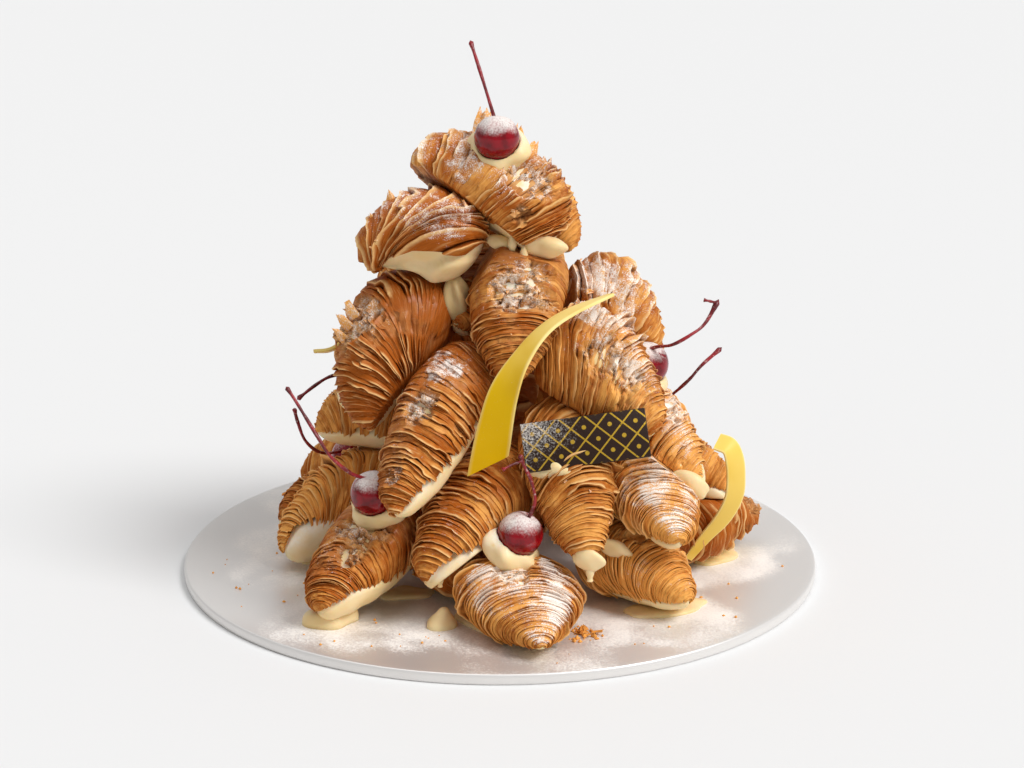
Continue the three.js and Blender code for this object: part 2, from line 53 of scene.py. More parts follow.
# ---- The heap ----
# Each pastry lies from its butt to its tip, in millimetres. belly is the side that is slit, girth
# half the width, bend how far the back bows out and gape the slit's half angle in degrees. fine is 2
# in the front of the tower, 1 behind and 0 inside. sugar, brown, full and torn set the dusting, the
# bake, how far cream bulges and how broken the crust is. The bake is partly painted shade: the
# pastries inside the heap are set darker for the shade among them. fan draws the leaves together on
# one side.
COLUMNS = "name butt tip belly girth bend gape fine sugar brown full torn fan".split()
PASTRIES = [
    ("front", (3, -75, 21.5), (19, -140, 13), (0, 0, -1), 27.5, 1, 36, 2, 1.15, 0.27, 0.1, 0.5, 0),
    ("front_left", (-42, -40, 37), (-79, -105, 16), (0.3, -0.4, -1),
     22.5, 4, 44, 2, 0.3, 0.85, 0.5, 0.8, 0.2),
    ("left", (-46, 8, 42), (-102, -27, 15.5), (0.8, -0.6, -0.7), 21.5, 5, 44, 2, 0.12, -0.1, 0.7, 0.3, 0.7),
    ("left_rear", (-57, 38, 25.5), (-108, 12, 16), (0.1, -0.4, -1), 18.5, 4, 38, 2, 0.1, 0.7, 0.4, 0.2, 0),
    ("left_far", (-54, 62, 27), (-102, 76, 16), (-0.2, -0.4, -1), 20, 4, 36, 1, 0.3, 0.5, 0.4, 0.4, 0.2),
    ("front_low", (-15, -78, 22), (-36, -14, 24), (0, 0, -1), 17, 1, 30, 1, 0, 1.2, 0.1, 0.2, 0),
    ("front_right", (42, -44, 24), (85, -95, 17), (-0.1, -0.2, -1), 20, 3, 34, 2, 0.6, -0.25, 0.3, 0.6, 0.3),
    ("right", (81, -31, 23), (124, 17, 18), (0.2, -0.4, -1), 18, 3, 32, 2, 0.3, 1.3, 0.2, 0.9, 0),
    ("right_rear", (56, 30, 27), (112, 66, 16), (0.2, 0.1, -1), 21.5, 4, 36, 1, 0.5, 0.4, 0.4, 0.4, 0.2),
    ("rear_right", (38, 50, 28), (80, 110, 16), (0.2, 0.2, -1), 21.5, 3, 40, 1, 0.4, 0.5, 0.4, 0.5, 0.1),
    ("rear", (4, 56, 29), (20, 130, 16), (0.3, 0.1, -1), 22, 4, 40, 1, 0.6, 0.4, 0.4, 0.4, 0.2),
    ("rear_left", (-26, 58, 28), (-56, 122, 16), (-0.3, 0.2, -1), 21.5, 4, 34, 1, 0.3, 0.5, 0.4, 0.5, 0),
    # painted shade: this pastry inside the heap gets a dark bake for the shade there
    ("core_low", (26, 8, 27), (-42, 4, 24), (0, 0.2, -1), 21, 2, 30, 0, 0, 1.5, 0.2, 0, 0),
    ("centre_left", (12, -46, 66), (-32, -102, 29), (0.35, -0.3, -1), 22, 3, 46, 2, 0.4, 0.67, 0.6, 0.4, 0.2),
    ("plaque_bearer", (26, -42, 92), (40, -100, 38), (0.3, 0.3, -1), 21, 5, 34, 2, 0.1, 0.45, 0.3, 0.3, 0.35),
    ("centre_right", (58, -30, 68), (80, -98, 46), (-0.1, -0.2, -1),
     21.5, 2, 30, 2, 1.35, -0.15, 0.3, 0.3, 0.1),
    ("right_mid", (62, 8, 54), (110, -16, 39), (0.2, -0.7, -1), 19, 4, 40, 2, 0.4, 0.6, 0.6, 0.7, 0.2),
    ("right_rear_mid", (40, 24, 70), (92, 52, 48), (0.2, 0.3, -1), 22, 4, 36, 1, 0.4, 0.5, 0.4, 0.4, 0.3),
    ("rear_mid", (10, 34, 70), (24, 104, 46), (-0.2, 0.3, -1), 22.5, 4, 38, 1, 0.5, 0.4, 0.4, 0.5, 0),
    ("rear_left_mid", (-30, 32, 68), (-62, 94, 46), (-0.2, 0.2, -1), 22, 4, 36, 1, 0.4, 0.5, 0.4, 0.4, 0.2),
    ("left_mid", (-32, 6, 75), (-88, 4, 65), (0, -0.5, -1), 21, 4, 46, 2, 0.3, 0.35, 0.1, 0.3, 0.3),
    # painted shade: this pastry inside the heap gets a dark bake for the shade there
    ("core_mid", (-14, -14, 62), (8, 6, 120), (0, 1, 0), 22, 2, 25, 0, 0, 1.7, 0.2, 0, 0),
    ("long_left", (-8, -44, 118), (-46, -101, 60), (0.75, -0.2, -0.7),
     21.5, 3, 36, 2, 0.35, 0.88, 0.35, 0.8, 0.1),
    ("big_left", (-23, -22, 140), (-58, -54, 85), (0.9, 0.1, -0.5),
     25.5, 14, 30, 2, 0.2, 1.55, 0.1, 0.9, 0.65),
    ("big_right", (22, -36, 126), (70, -68, 87), (-0.4, 0, -1), 26, 3, 30, 2, 0.7, 0.34, 0.2, 1, 0.35),
    ("right_lean", (51, -14, 92), (90, -64, 60), (0.5, -0.5, -0.8),
     19.5, 3, 44, 2, 0.75, 0.05, 0.8, 0.7, 0.2),
    ("rear_right_high", (32, 14, 116), (74, 44, 82), (0.2, 0.3, -1), 22.5, 5, 36, 1, 0.5, 0.4, 0.4, 0.4, 0),
    ("rear_high", (-6, 20, 114), (-8, 82, 82), (-0.2, 0.3, -1), 22.5, 5, 38, 1, 0.5, 0.5, 0.4, 0.6, 0.3),
    ("rear_left_high", (-36, 14, 114), (-76, 48, 84), (-0.2, 0.1, -1),
     21.5, 5, 36, 1, 0.4, 0.5, 0.4, 0.4, 0.1),
    ("centre_high", (11, -20, 164), (6, -78, 114), (0.2, 0.2, -1), 22.5, 3, 30, 2, 0.35, 0.7, 0.2, 0.9, 0),
    ("clam", (-9, -38, 165), (-61, -37, 157), (0.1, -0.15, -1), 23, 11, 30, 2, 0.6, 1.15, 0.7, 0.2, 0.95),
    ("right_high", (32, -12, 143), (71, -16, 105), (-0.4, 0, -1), 21, 6, 26, 2, 0.9, 0.7, 0.1, 0.35, 0.25),
    ("rear_top", (4, 6, 164), (14, 58, 118), (0.2, 0.2, -1), 22.5, 5, 36, 1, 0.6, 0.4, 0.4, 0.5, 0.1),
    ("rear_left_top", (-20, 12, 156), (-52, 44, 120), (0, 0.2, -1), 21, 5, 36, 1, 0.5, 0.5, 0.4, 0.4, 0.2),
    ("core_high", (4, 2, 140), (-21, -42, 131), (0, 0, -1), 18, 1, 25, 1, 0.6, 0.9, 0.1, 0.2, 0),
    ("crown", (24, -36, 169), (-40, -13, 199), (-0.4, 0, -1), 26, 9, 36, 2, 0.65, 0.78, 0.4, 1, 0.15),
    ("crown_right", (-6, 10, 183), (34, -4, 157), (-0.6, 0, -1), 20.5, 6, 34, 2, 0.5, 0.4, 0.4, 0.6, 0.2),
]
# What sets some pastries apart. flat is their height against their width, taper how much thinner they
# get towards the tip, calm how smooth the closed end is, coarse how broad the leaves are, and those
# with a mouth are open at the butt. The side where leaves draw together looks toward, and leaves away
# from it stand higher by frayed.
ALIKE = {
    "flat": 0.9,
    "taper": 0.48,
    "calm": 0.2,
    "coarse": 1.0,
    "mouth": False,
    "frayed": 1.1,
    "toward": (0, -1, -0.9),
}
OWN = {
    "front": {"flat": 0.62, "taper": 0.74, "calm": 0.0, "coarse": 0.9},
    "front_right": {"coarse": 0.85},
    "centre_left": {"taper": 0.4, "calm": 0.3, "coarse": 1.15},
    "plaque_bearer": {"calm": 0.4, "coarse": 1.15},
    "centre_right": {"calm": 0.1, "coarse": 0.85},
    "long_left": {"calm": 0.6, "coarse": 1.1},
    "big_left": {"calm": 1.0, "coarse": 1.1, "toward": (0.9, 0.1, -0.5)},
    "front_left": {"calm": 0.8},
    "right_lean": {"calm": 0.0},
    "centre_high": {"calm": 0.9},
    "clam": {"calm": 0.35, "coarse": 2.2, "mouth": True, "frayed": 0.1},
    "right_high": {"calm": 0.0, "coarse": 1.4},
    "core_high": {"flat": 1.0},
    "crown": {"taper": 0.34, "calm": 0.2, "coarse": 1.45, "mouth": True},
    "crown_right": {"calm": 0.6, "coarse": 0.8},
}
# Cherries, the middles of the piped cream that bears them, their stems and the stems' forks.
CHERRIES = {
    "top": ((-1, -39, 216.4), (0, -34, 210), [(-1, -37, 221), (-7.6, -31, 242), (-13, -22, 257.4)], []),
    "left": (
        (-57, -76, 61),
        (-54, -71.5, 54),
        [
            (-59, -77, 68), (-66, -80, 71.5), (-75, -82, 80), (-81, -80, 89),
            (-91, -72, 103), (-95.5, -69, 109),
        ],
        [],
    ),
    "front": (
        (9.5, -94, 48),
        (5, -92, 40),
        [(13, -94, 55), (16, -98, 65), (14, -98, 75), (11.5, -97, 80), (9, -96, 86)],
        [(10.5, -96.5, 83), (6, -100, 82.5), (1.6, -103, 81)],
    ),
    "right": (
        (68, -33, 109.5),
        (65, -32, 103),
        [
            (69.5, -35, 117), (73, -40, 119.5), (79, -44, 121.5),
            (87, -44, 126), (94, -40, 130.5), (100.6, -34, 140.4),
        ],
        [(99.8, -34.5, 138.5), (97, -37, 140), (93.4, -38, 141)],
    ),
    "right_rear": (
        (75, 6, 73),
        (74, 7, 66),
        [(78, 3, 80), (84, -4, 87.5), (90, -6, 94), (96, -4, 100.5), (105.5, 0, 108)],
        [],
    ),
    "left_low": (
        (-73, 28, 44),
        (-71, 28, 36.5),
        [(-77, 22, 49), (-86, 4, 54), (-92.6, -6, 63), (-96, -8, 73), (-97.5, -10, 81)],
        [],
    ),
    "left_rear": (
        (-67, -7, 96),
        (-64, -6, 89),
        [(-73, -10, 98), (-80, -14, 97.5), (-86.5, -20, 95), (-94.4, -28, 90.5)],
        [],
    ),
}
# Cream away from the pastries and the cherries: middle, half sizes, the depth of its ridges, how far
# it lies in the shade and how far its top is drawn out.
DOLLOPS = {
    "cream_swirl": ((-20, -38, 142), (6, 8, 11), 0.15, 0.8, 0.0),
    "cream_plaque": ((24, -84, 75.5), (13, 6, 5.5), 0.05, 0.0, 0.0),
    "cream_drop": ((-25.7, -96, 5.3), (7.3, 7.3, 7), 0.03, 0.0, 0.4),
}
# Bands of chocolate: how much farther one edge starts than the other, how pale the band gets towards
# its end and how pale it is all over, then for each point its middle, the way across and the width.
CURLS = {
    "curl_front": (
        (12.5, 0.9, 0.0),
        [
            ((-5, -84, 76.7), (1, 0.1, 0.1), 17),
            ((-2, -89, 94), (1, -0.3, 0.1), 16),
            ((2, -92, 112), (0.9, -0.5, 0.1), 14.5),
            ((9, -91, 127), (0.6, -0.8, 0), 13),
            ((19, -84, 138.5), (0.3, -0.9, 0), 12),
            ((32, -74, 145), (0.1, -1, 0), 10),
            ((50, -58, 148.5), (0, -1, 0.1), 5),
        ],
    ),
    # painted light: this band is paled all over for the light that falls on it
    "curl_right": (
        (0.0, 0.0, 0.45),
        [
            ((89, -34, 14), (0.7, 0.2, -0.6), 4),
            ((96.6, -36, 25), (0.75, 0.25, -0.5), 6),
            ((104.6, -38, 35.6), (0.88, 0.3, -0.3), 8.5),
            ((109.3, -40, 46.7), (0.95, 0.33, 0), 9.5),
            ((109.9, -41, 57), (0.93, 0.36, 0.1), 9.5),
            ((109, -41, 65.5), (0.8, 0.4, 0.4), 9.5),
            ((106.5, -40, 71.3), (0.45, 0.65, 0.6), 9.5),
            ((101, -38, 73.2), (0, 0.8, 0.6), 9.5),
        ],
    ),
    "curl_left": (
        (0.0, 0.0, 0.0),
        [
            ((-88, -2, 106.5), (0, -1, 0.4), 5),
            ((-80, -2, 107.5), (0, -1, 0.4), 9),
            ((-72, 2, 112), (0, -1, 0.3), 11),
            ((-66, 5, 118), (0, -1, 0.3), 11),
        ],
    ),
}
# The plaque's middle, the way along it and the way up it.
PLAQUE_AT = (38.5, -84, 88.4)
PLAQUE_ALONG = (1, 0.03, 0.13)
PLAQUE_UP = (-0.1, 0.45, 1)
# Cells of the gold lattice to the plaque's height.
LATTICE = 1.9
# Soft cream run out onto the board: middle, half length, half width, turn in degrees and height.
PUDDLES = [
    (-4, -97, 24, 9, -50, 2.6),
    (76, -76, 20, 10, 25, 2.6),
    (-76, -92, 12, 9, 15, 8.0),
    (105, -6, 15, 9, 60, 2.6),
    (-44, -58, 13, 7, 10, 2.6),
    (-88, -12, 8, 6, 40, 2.6),
]
# Drops of cream that hang: where from, their length and their thickness.
DRIPS = [
    ((-26.4, -95, 32), 9, 1.8),
    ((40.5, -101, 39), 11, 2.2),
    ((11, -48.5, 168), 9, 2.4),
    ((86.7, -62, 69), 13, 3.6),
    ((91, -59, 68), 7, 3.2),
    ((82, -63, 69), 6, 3.0),
    ((6, -47, 174), 9, 2.2),
]
# Lumps of cream pressed out at a tail's end: middle, half sizes and the way up.
SPILLS = [
    ((87, -70.5, 63), (9.5, 4.5, 6.5), (0.35, -0.6, 1)),
    ((79, -70, 57), (6, 4.5, 5.5), (0.2, -0.8, 1)),
    ((39.5, -101, 38.5), (7.5, 3.5, 6), (0.1, -0.3, 1)),
    ((52, -80, 36), (8.5, 3.5, 4.5), (0.1, -0.7, 1)),
    ((20, -46.5, 168.3), (10.5, 4.5, 5.5), (-0.2, -0.4, 1)),
    ((1, -41, 168.5), (7, 3.5, 3.5), (0.1, -0.5, 1)),
]
# Places where a crust is torn or the sugar lies thick: the pastry, the middle, the radius, and how
# torn and how sugared it is there.
PATCHES = [
    ("crown", (12.5, -43.5, 197), 13, 1, 0.8),
    ("crown", (9.4, -54.3, 185), 4.5, 0.9, 0.35),
    ("crown", (-15.3, -40.5, 203), 8, 0.3, 0.65),
    ("crown", (-30, -28, 205), 9, 0.0, 0.35),
    ("centre_high", (14, -55.4, 154.8), 10, 1, 0.45),
    ("centre_high", (5.8, -62.2, 149.6), 11, 1, 0.65),
    ("centre_high", (18.3, -62.7, 147.4), 8, 0.9, 0.4),
    ("long_left", (-35, -81.8, 102.9), 9, 1, 0.75),
    ("long_left", (-24.2, -67.6, 115.4), 11, 0.1, 0.85),
    ("big_left", (-62, -45.8, 134), 13, 1, 0.65),
    ("big_left", (-69.5, -41.7, 125.5), 10, 1, 0.4),
    ("front_left", (-62.9, -78.8, 44.3), 13, 1, 0.55),
    ("long_left", (-45.8, -96.9, 76.6), 5, 0.5, 0.6),
    ("front_left", (-67, -92, 38), 7, 0.9, 0.4),
    ("big_right", (44.6, -52, 136.3), 11, 0.6, 0.95),
    ("big_right", (47, -68, 122), 10, 1, 0.6),
    ("big_right", (55, -70.2, 113.4), 8, 1, 0.35),
    ("right_lean", (80, -44, 89), 9, 0.8, 0.56),
    ("right_high", (46.2, -27.9, 148), 11, 0.3, 0.85),
    ("right_high", (57.8, -28.1, 141), 9, 0.3, 0.75),
    ("front", (6, -102, 33.2), 10, 0.9, 0.75),
    ("centre_left", (-26.8, -71.9, 61), 6, 0.5, 0.28),
    ("core_high", (-22.6, -37.3, 129), 6, 0.8, 1),
    ("centre_right", (68, -80, 68), 14, 0, 0.65),
    ("front_right", (63.5, -85.5, 27.6), 8, 0.0, 0.42),
    ("clam", (-24, -53, 181), 12, 0, 0.6),
    ("clam", (-44, -48, 160), 5, 0.0, 0.63),
]
# Scraps of crust that stand up: their foot and their tip, and the way that all of them face.
SHARDS = [
    ((-7, -30, 215), (-6.5, -30, 226.5)),
    ((-3.5, -28, 215), (-2, -28, 224)),
    ((8, -28, 211), (10, -28, 218.5)),
    ((14, -27, 204), (18, -25, 211)),
    ((-48, -37, 182), (-51, -36, 190)),
    ((-55, -40, 174), (-59, -40, 180)),
    ((-66, -46, 134), (-71, -45, 141)),
    ((-68, -45, 129), (-74, -45, 134)),
    ((-70, -44, 123), (-76, -45, 127)),
]
SHARDS_FACE = np.array([0.0, -1.0, -0.9])
# Scraps of leaf on each pastry, by fineness.
FLAKES = {2: 11, 1: 8, 0: 0}
# Crumbs lie in a small heap here and all over the front of the board. The first ones are coarse, and
# a few flakes lie in the heap.
CRUMBS_AT = (38, -106)
CRUMBS = 105
CRUMBS_IN_HEAP = 55
CRUMBS_COARSE = 30
CRUMB_FLAKES = 5
# The view: where the camera stands, how far it looks down, and its focal length and width in pixels.
CAMERA_AT = (5.8, -1143.09, 427.75)
CAMERA_DOWN = 16.47
FOCAL_PIXELS = 2500
WIDE_PIXELS = 1024
SENSOR = 36
# The stage, in metres: how wide the ground is and how far the camera sees, and how bright the sky is.
GROUND_WIDE = 12
SEEN_TO = 50
SKY_STRENGTH = 0.42
# Soft lights: the way they come from, how wide they look in degrees and their power.
LIGHTS = [
    ("key_light", (1.15, -0.65, 1.45), 28, 2.55),
    ("top_light", (-0.3, 0.1, 1.6), 45, 0.6),
]
# In millimetres: the board's top, what the solids keep between each other, half a cherry's width, how
# near a pastry has to come to another or to a cherry to be pressed flat, and the height under which
# it sheds sugar on the board. In metres: the rounding of the plaque's edges.
BOARD_TOP = 5.0
GAP = 0.3
CHERRY_RADIUS = 10.2
TOUCHING = 4
TOUCHING_CHERRY = 2
LYING_LOW = 48
PLAQUE_BEVEL = 0.0004
# Where a pastry is widest and how uneven it is, in shares of its length and girth.
WIDEST = 0.34
LUMPS = 0.05
# Large odd numbers that scramble a place into a number that looks random.
SCRAMBLE = np.array([374761393, 668265263, 1440662683])
SCRAMBLE_AGAIN = 1274126177


def srgb(red, green, blue):
    """A colour given in the 0 to 255 steps of a screen, as linear light."""
    steps = [value / 255 for value in (red, green, blue)]
    return tuple(v / 12.92 if v <= 0.04045 else ((v + 0.055) / 1.055) ** 2.4 for v in steps)


# ---- Settings ----
def colour(name, description, value):
    return FloatVectorProperty(name=name, description=description, subtype="COLOR", size=3, default=value)


def length(name, description, value):
    return FloatProperty(name=name, description=description, unit="LENGTH", default=value)


class TowerSizes(bpy.types.PropertyGroup):
    board_radius: length("Board radius", "Half the round board's width", 0.1525)
    board_thick: length("Board thickness", "From the underside to the foil on top", 0.005)
    lip: length("Lip", "How far a leaf's edge stands out", 0.00105)
    crumble: length("Crumble", "Height of the torn patches", 0.0034)
    ooze: length("Ooze", "How far the cream bulges out of a slit", 0.005)
    cherry_radius: length("Cherry radius", "Half a cherry's width", 0.0102)
    stem_radius: length("Stem radius", "Half a stem's width", 0.0008)
    rosette_radius: length("Rosette radius", "Half the width of the cream under a cherry", 0.014)
    rosette_height: length("Rosette height", "Height of that cream above its middle", 0.008)
    curl_thick: length("Curl thickness", "Thickness of the yellow bands", 0.0016)
    plaque_long: length("Plaque length", "Along its printed face", 0.056)
    plaque_high: length("Plaque height", "Across its printed face", 0.022)
    plaque_thick: length("Plaque thickness", "Of the dark chocolate", 0.003)


class TowerColours(bpy.types.PropertyGroup):
    crust: colour("Crust", "Baked dough", srgb(238, 170, 86))
    crust_deep: colour("Deep crust", "Well baked dough", srgb(170, 88, 22))
    # crust_shade is painted shade, between the leaves and in the cracks of torn crust
    crust_shade: colour("Crust shade", "Between the leaves", srgb(70, 25, 0))
    # crust_edge is the paler dough of thin edges and torn layers, and also a painted highlight on the leaves'
    # edges
    crust_edge: colour("Crust edge", "Thin edges of the leaves", srgb(252, 212, 146))
    custard: colour("Custard", "The filling", srgb(244, 218, 168))
    berry: colour("Berry", "The cherries", srgb(146, 2, 22))
    stem: colour("Stem", "The cherries' stems", srgb(152, 22, 34))
    sugar: colour("Sugar", "Icing sugar", srgb(250, 246, 240))
    yellow: colour("Yellow", "The chocolate bands", srgb(238, 192, 4))
    pale_yellow: colour("Pale yellow", "The bands where they are thin", srgb(248, 226, 150))
    dark: colour("Dark chocolate", "The plaque", srgb(38, 22, 14))
    gold: colour("Gold", "The print on the plaque", srgb(196, 158, 50))
    foil: colour("Foil", "The board", srgb(234, 231, 228))
    floor: colour("Floor", "The ground under the board", srgb(225, 225, 225))


# ---- Sums over many points ----
def unit(vectors):
    return vectors / np.maximum(np.linalg.norm(vectors, axis=-1, keepdims=True), 1e-12)


def noise(points, pattern=0):
    """Smooth noise from -1 to 1 at each point, about one swing per unit. Each pattern is another one."""
    cell = np.floor(points).astype(np.int64)
    part = points - cell
    part = part * part * (3 - 2 * part)
    total = np.zeros(len(points))
    for corner in range(8):
        step = np.array([corner & 1, corner >> 1 & 1, corner >> 2 & 1])
        code = ((cell + step) * SCRAMBLE).sum(axis=1) + pattern * SCRAMBLE_AGAIN
        code &= 0xFFFFFFFF
        code = ((code ^ (code >> 13)) * SCRAMBLE_AGAIN) & 0xFFFFFFFF
        height = ((code ^ (code >> 16)) & 0xFFFF) / 65535.0
        total += height * np.prod(np.where(step, part, 1 - part), axis=1)
    return 2 * total - 1


def rough(points, pattern=0, octaves=3):
    """Noise with finer noise on top."""
    layers = [noise(points * 2.03**k + 7.1 * k, pattern + k) * 0.5**k for k in range(octaves)]
    return sum(layers) / sum(0.5**k for k in range(octaves))


def ease(low, high, values):
    """0 below low, 1 above high and a smooth rise between."""
    share = np.clip((values - low) / (high - low), 0, 1)
    return share * share * (3 - 2 * share)


def draw(seed, k):
    """The seed's number k between 0 and 1, the same each run."""
    value = math.sin(seed * 12.9898 + k * 78.233) * 43758.5453
    return value - math.floor(value)


def catmull(points, shares):
    """A smooth line through the points, at shares of the way along."""
    points = np.asarray(points, float)
    if points.ndim == 1:
        points = points[:, None]
    ends = np.vstack([2 * points[0] - points[1], points, 2 * points[-1] - points[-2]])
    place = np.clip(shares, 0, 1) * (len(points) - 1)
    first = np.minimum(place.astype(int), len(points) - 2)
    t = (place - first)[:, None]
    a, b, c, d = (ends[first + k] for k in range(4))
    return 0.5 * (2 * b + (c - a) * t + (2 * a - 5 * b + 4 * c - d) * t**2 + (3 * b - a - 3 * c + d) * t**3)


# ---- The form of a pastry ----
class Pastry:
    """One row of the table, with its bowed middle line and its girth along the way."""

    def __init__(self, row, seed):
        for column, value in zip(COLUMNS, row):
            setattr(self, column, np.array(value, float) if isinstance(value, tuple) else value)
        for column, value in {**ALIKE, **OWN.get(self.name, {})}.items():
            setattr(self, column, value)
        self.seed = seed
        self.chord = self.tip - self.butt
        self.long = float(np.linalg.norm(self.chord))
        self.planes = []
        along = self.chord / self.long
        self.down = unit(self.belly - along * (self.belly @ along))
        # the angle round the pastry of the side where the leaves gather
        side = np.cross(along, self.down)
        self.gather = math.atan2(side @ self.toward, self.down @ self.toward)

    def spine(self, s):
        """Middle, belly way and side way at shares s of the length."""
        s = np.asarray(s, float)[:, None]
        middle = self.butt + self.chord * s - self.down * (4 * self.bend * s * (1 - s))
        tangent = unit(self.chord - self.down * (4 * self.bend * (1 - 2 * s)))
        belly = unit(self.down - tangent * np.sum(self.down * tangent, axis=1, keepdims=True))
        return middle, belly, np.cross(tangent, belly)

    def radius(self, s, turn):
        """Half the width at share s, at an angle from the belly, with slow swellings."""
        first = np.sin(2 * turn + 6.3 * draw(self.seed, 1) + 3 * s)
        second = np.sin(3 * turn - 5 * s + 6.3 * draw(self.seed, 2))
        third = np.sin(turn + 9 * s + 6.3 * draw(self.seed, 3))
        return self.girth * profile(s, self.taper) * (1 + LUMPS * (0.5 * first + 0.3 * second + 0.5 * third))

    def points(self, s, turn, radius):
        middle, belly, side = self.spine(s)
        across = (radius * np.cos(turn) * self.flat)[:, None] * belly
        return middle + across + (radius * np.sin(turn))[:, None] * side

    def pressed(self, points, slack=0.0):
        """The points, flattened where a neighbour or the board presses."""
        for normal, offset in self.planes:
            over = np.maximum(points @ normal - offset + slack, 0)
            points = points - over[:, None] * normal
        points[:, 2] = np.maximum(points[:, 2], BOARD_TOP + GAP + slack)
        return points


def profile(s, taper):
    """The girth at share s of the length, against the widest."""
    s = np.clip(s, 0, 1)
    before = np.sqrt(np.clip(1 - np.abs((WIDEST - s) / WIDEST) ** 2.6, 0, 1))
    t = np.clip((s - WIDEST) / (1 - WIDEST), 0, 1)
    after = (1 - taper * t**1.3) * np.sqrt(1 - t**5)
    return np.where(s < WIDEST, before, after)


def press(pastries):
    """Finds the flat patches that neighbours share, halfway between their nearest girths."""
    samples = np.linspace(0, 1, 25)
    lines = [p.spine(samples)[0] for p in pastries]
    girths = [p.girth * profile(samples, p.taper) for p in pastries]
    for i, one in enumerate(pastries):
        for j in range(i + 1, len(pastries)):
            share_plane(one, pastries[j], lines[i], lines[j], girths[i], girths[j], TOUCHING)
        for berry, *_ in CHERRIES.values():
            middle, half = np.array([berry]), np.array([CHERRY_RADIUS])
            share_plane(one, None, lines[i], middle, girths[i], half, TOUCHING_CHERRY)


def share_plane(one, other, line, others, girth, others_girth, near):
    """Keeps two pieces on their sides of one plane, if they come this near to each other."""
    apart = np.linalg.norm(line[:, None] - others[None], axis=2)
    space = apart - girth[:, None] - others_girth[None]
    a, b = np.unravel_index(np.argmin(space), space.shape)
    if space[a, b] > near:
        return
    normal = (others[b] - line[a]) / apart[a, b]
    offset = normal @ (line[a] + normal * (girth[a] + space[a, b] / 2))
    one.planes.append((normal, offset - GAP / 2))
    if other:
        other.planes.append((-normal, -offset - GAP / 2))


# ---- Making pieces ----
def named(name):
    """The object that an operator has just made, under its name."""
    piece = bpy.context.object
    piece.name = name
    piece.data.name = name
    return piece


def fetch(items, name, size=1):
    """One property of all the items, with size numbers for each."""
    flat = np.empty(size * len(items))
    items.foreach_get(name, flat)
    return flat.reshape(-1, size) if size > 1 else flat


def ball(name, segments, rings):
    """A new sphere, with each vertex's ring from the top and its step round."""
    bpy.ops.object.select_all(action="DESELECT")
    bpy.ops.mesh.primitive_uv_sphere_add(segments=segments, ring_count=rings, radius=1)
    piece = named(name)
    spots = fetch(piece.data.vertices, "co", 3)
    ring = np.rint(np.arccos(np.clip(spots[:, 2], -1, 1)) / math.pi * rings).astype(int)
    step = np.rint(np.arctan2(spots[:, 1], spots[:, 0]) / (2 * math.pi) * segments).astype(int) % segments
    return piece, ring, step


def globe(name, segments, rings):
    """A new sphere, with each vertex's share of the way down and its angle round."""
    piece, ring, step = ball(name, segments, rings)
    return piece, ring / rings, 2 * math.pi * step / segments


def place(piece, points):
    """Moves the vertices, given in millimetres, and sees that the faces look outward."""
    piece.data.vertices.foreach_set("co", (np.asarray(points) * MM).ravel())
    piece.data.update()
    bulk = bmesh.new()
    bulk.from_mesh(piece.data)
    if bulk.calc_volume(signed=True) < 0:
        bmesh.ops.reverse_faces(bulk, faces=bulk.faces)
        bulk.to_mesh(piece.data)
    bulk.free()
    piece.data.polygons.foreach_set("use_smooth", [True] * len(piece.data.polygons))
    piece.data.update()
    return piece


def soften(piece, degrees):
    """Smooth shading but for edges sharper than this."""
    bpy.context.view_layer.objects.active = piece
    bpy.ops.object.shade_smooth_by_angle(angle=math.radians(degrees))


def mark(piece, name, values):
    """Keeps a number for each vertex, for the material to read."""
    layer = piece.data.attributes.new(name=name, type="FLOAT", domain="POINT")
    values = np.broadcast_to(np.asarray(values, np.float32), len(piece.data.vertices))
    layer.data.foreach_set("value", np.ascontiguousarray(values))


def finish_piece(piece, node, material):
    """Binds the piece to the frame, with the node it replaces if there is one, and paints it."""
    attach(piece, "root")
    if node:
        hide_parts(node)
    piece.data.materials.append(material)
    return piece


# ---- Pastries ----
# Steps round a shell, how many of them line its inside and millimetres from leaf to leaf, by
# fineness, and the steps round a filling and along it.
SHELLS = {2: (108, 12, 1.95), 1: (80, 10, 2.9), 0: (36, 6, 7.0)}
FILLINGS = {2: (60, 48), 1: (40, 32), 0: (24, 20)}
# The five rings of a leaf: how far along it they lie, how high they stand and how dark they are painted, as
# shade between the leaves.
LEAF_AT = np.array([0.0, 0.14, 0.52, 0.9, 0.985])
LEAF_UP = np.array([-0.8, -0.15, 0.42, 1.0, 0.4])
LEAF_SHADE = np.array([0.9, 0.28, 0.0, 0.0, 0.6])
LEAF_EDGE = 3
LEAF_RINGS = len(LEAF_AT)
# Plain rings at both ends, the shares of the way between which leaves lie, and the crust's thickness.
BUTT_RINGS = 3
TIP_RINGS = 2
LEAVES_FROM = 0.035
LEAVES_TO = 0.985
SHELL_THICK = 3.0


class Walk:
    """Steps from a pastry's butt to its tip over its surface, as a share of the way."""

    def __init__(self, pastry):
        self.share = (1 - np.cos(np.linspace(0, math.pi, 600))) / 2
        half = pastry.girth * profile(self.share, pastry.taper)
        middle = pastry.spine(self.share)[0]
        ahead = np.concatenate([[0], np.cumsum(np.linalg.norm(np.diff(middle, axis=0), axis=1))])
        steps = np.hypot(np.diff(ahead), np.diff(half))
        self.way = np.concatenate([[0], np.cumsum(steps)])
        self.long = self.way[-1]
        self.way /= self.long
        self.rise = np.gradient(half, self.way * self.long)
        self.run = np.gradient(ahead, self.way * self.long)

    def s(self, way):
        return np.interp(way, self.way, self.share)

    def slope(self, way):
        """How much of a step along the surface goes outward, and how much goes ahead."""
        out, ahead = (np.interp(way, self.way, values) for values in (self.rise, self.run))
        size = np.hypot(out, ahead)
        return out / size, ahead / size


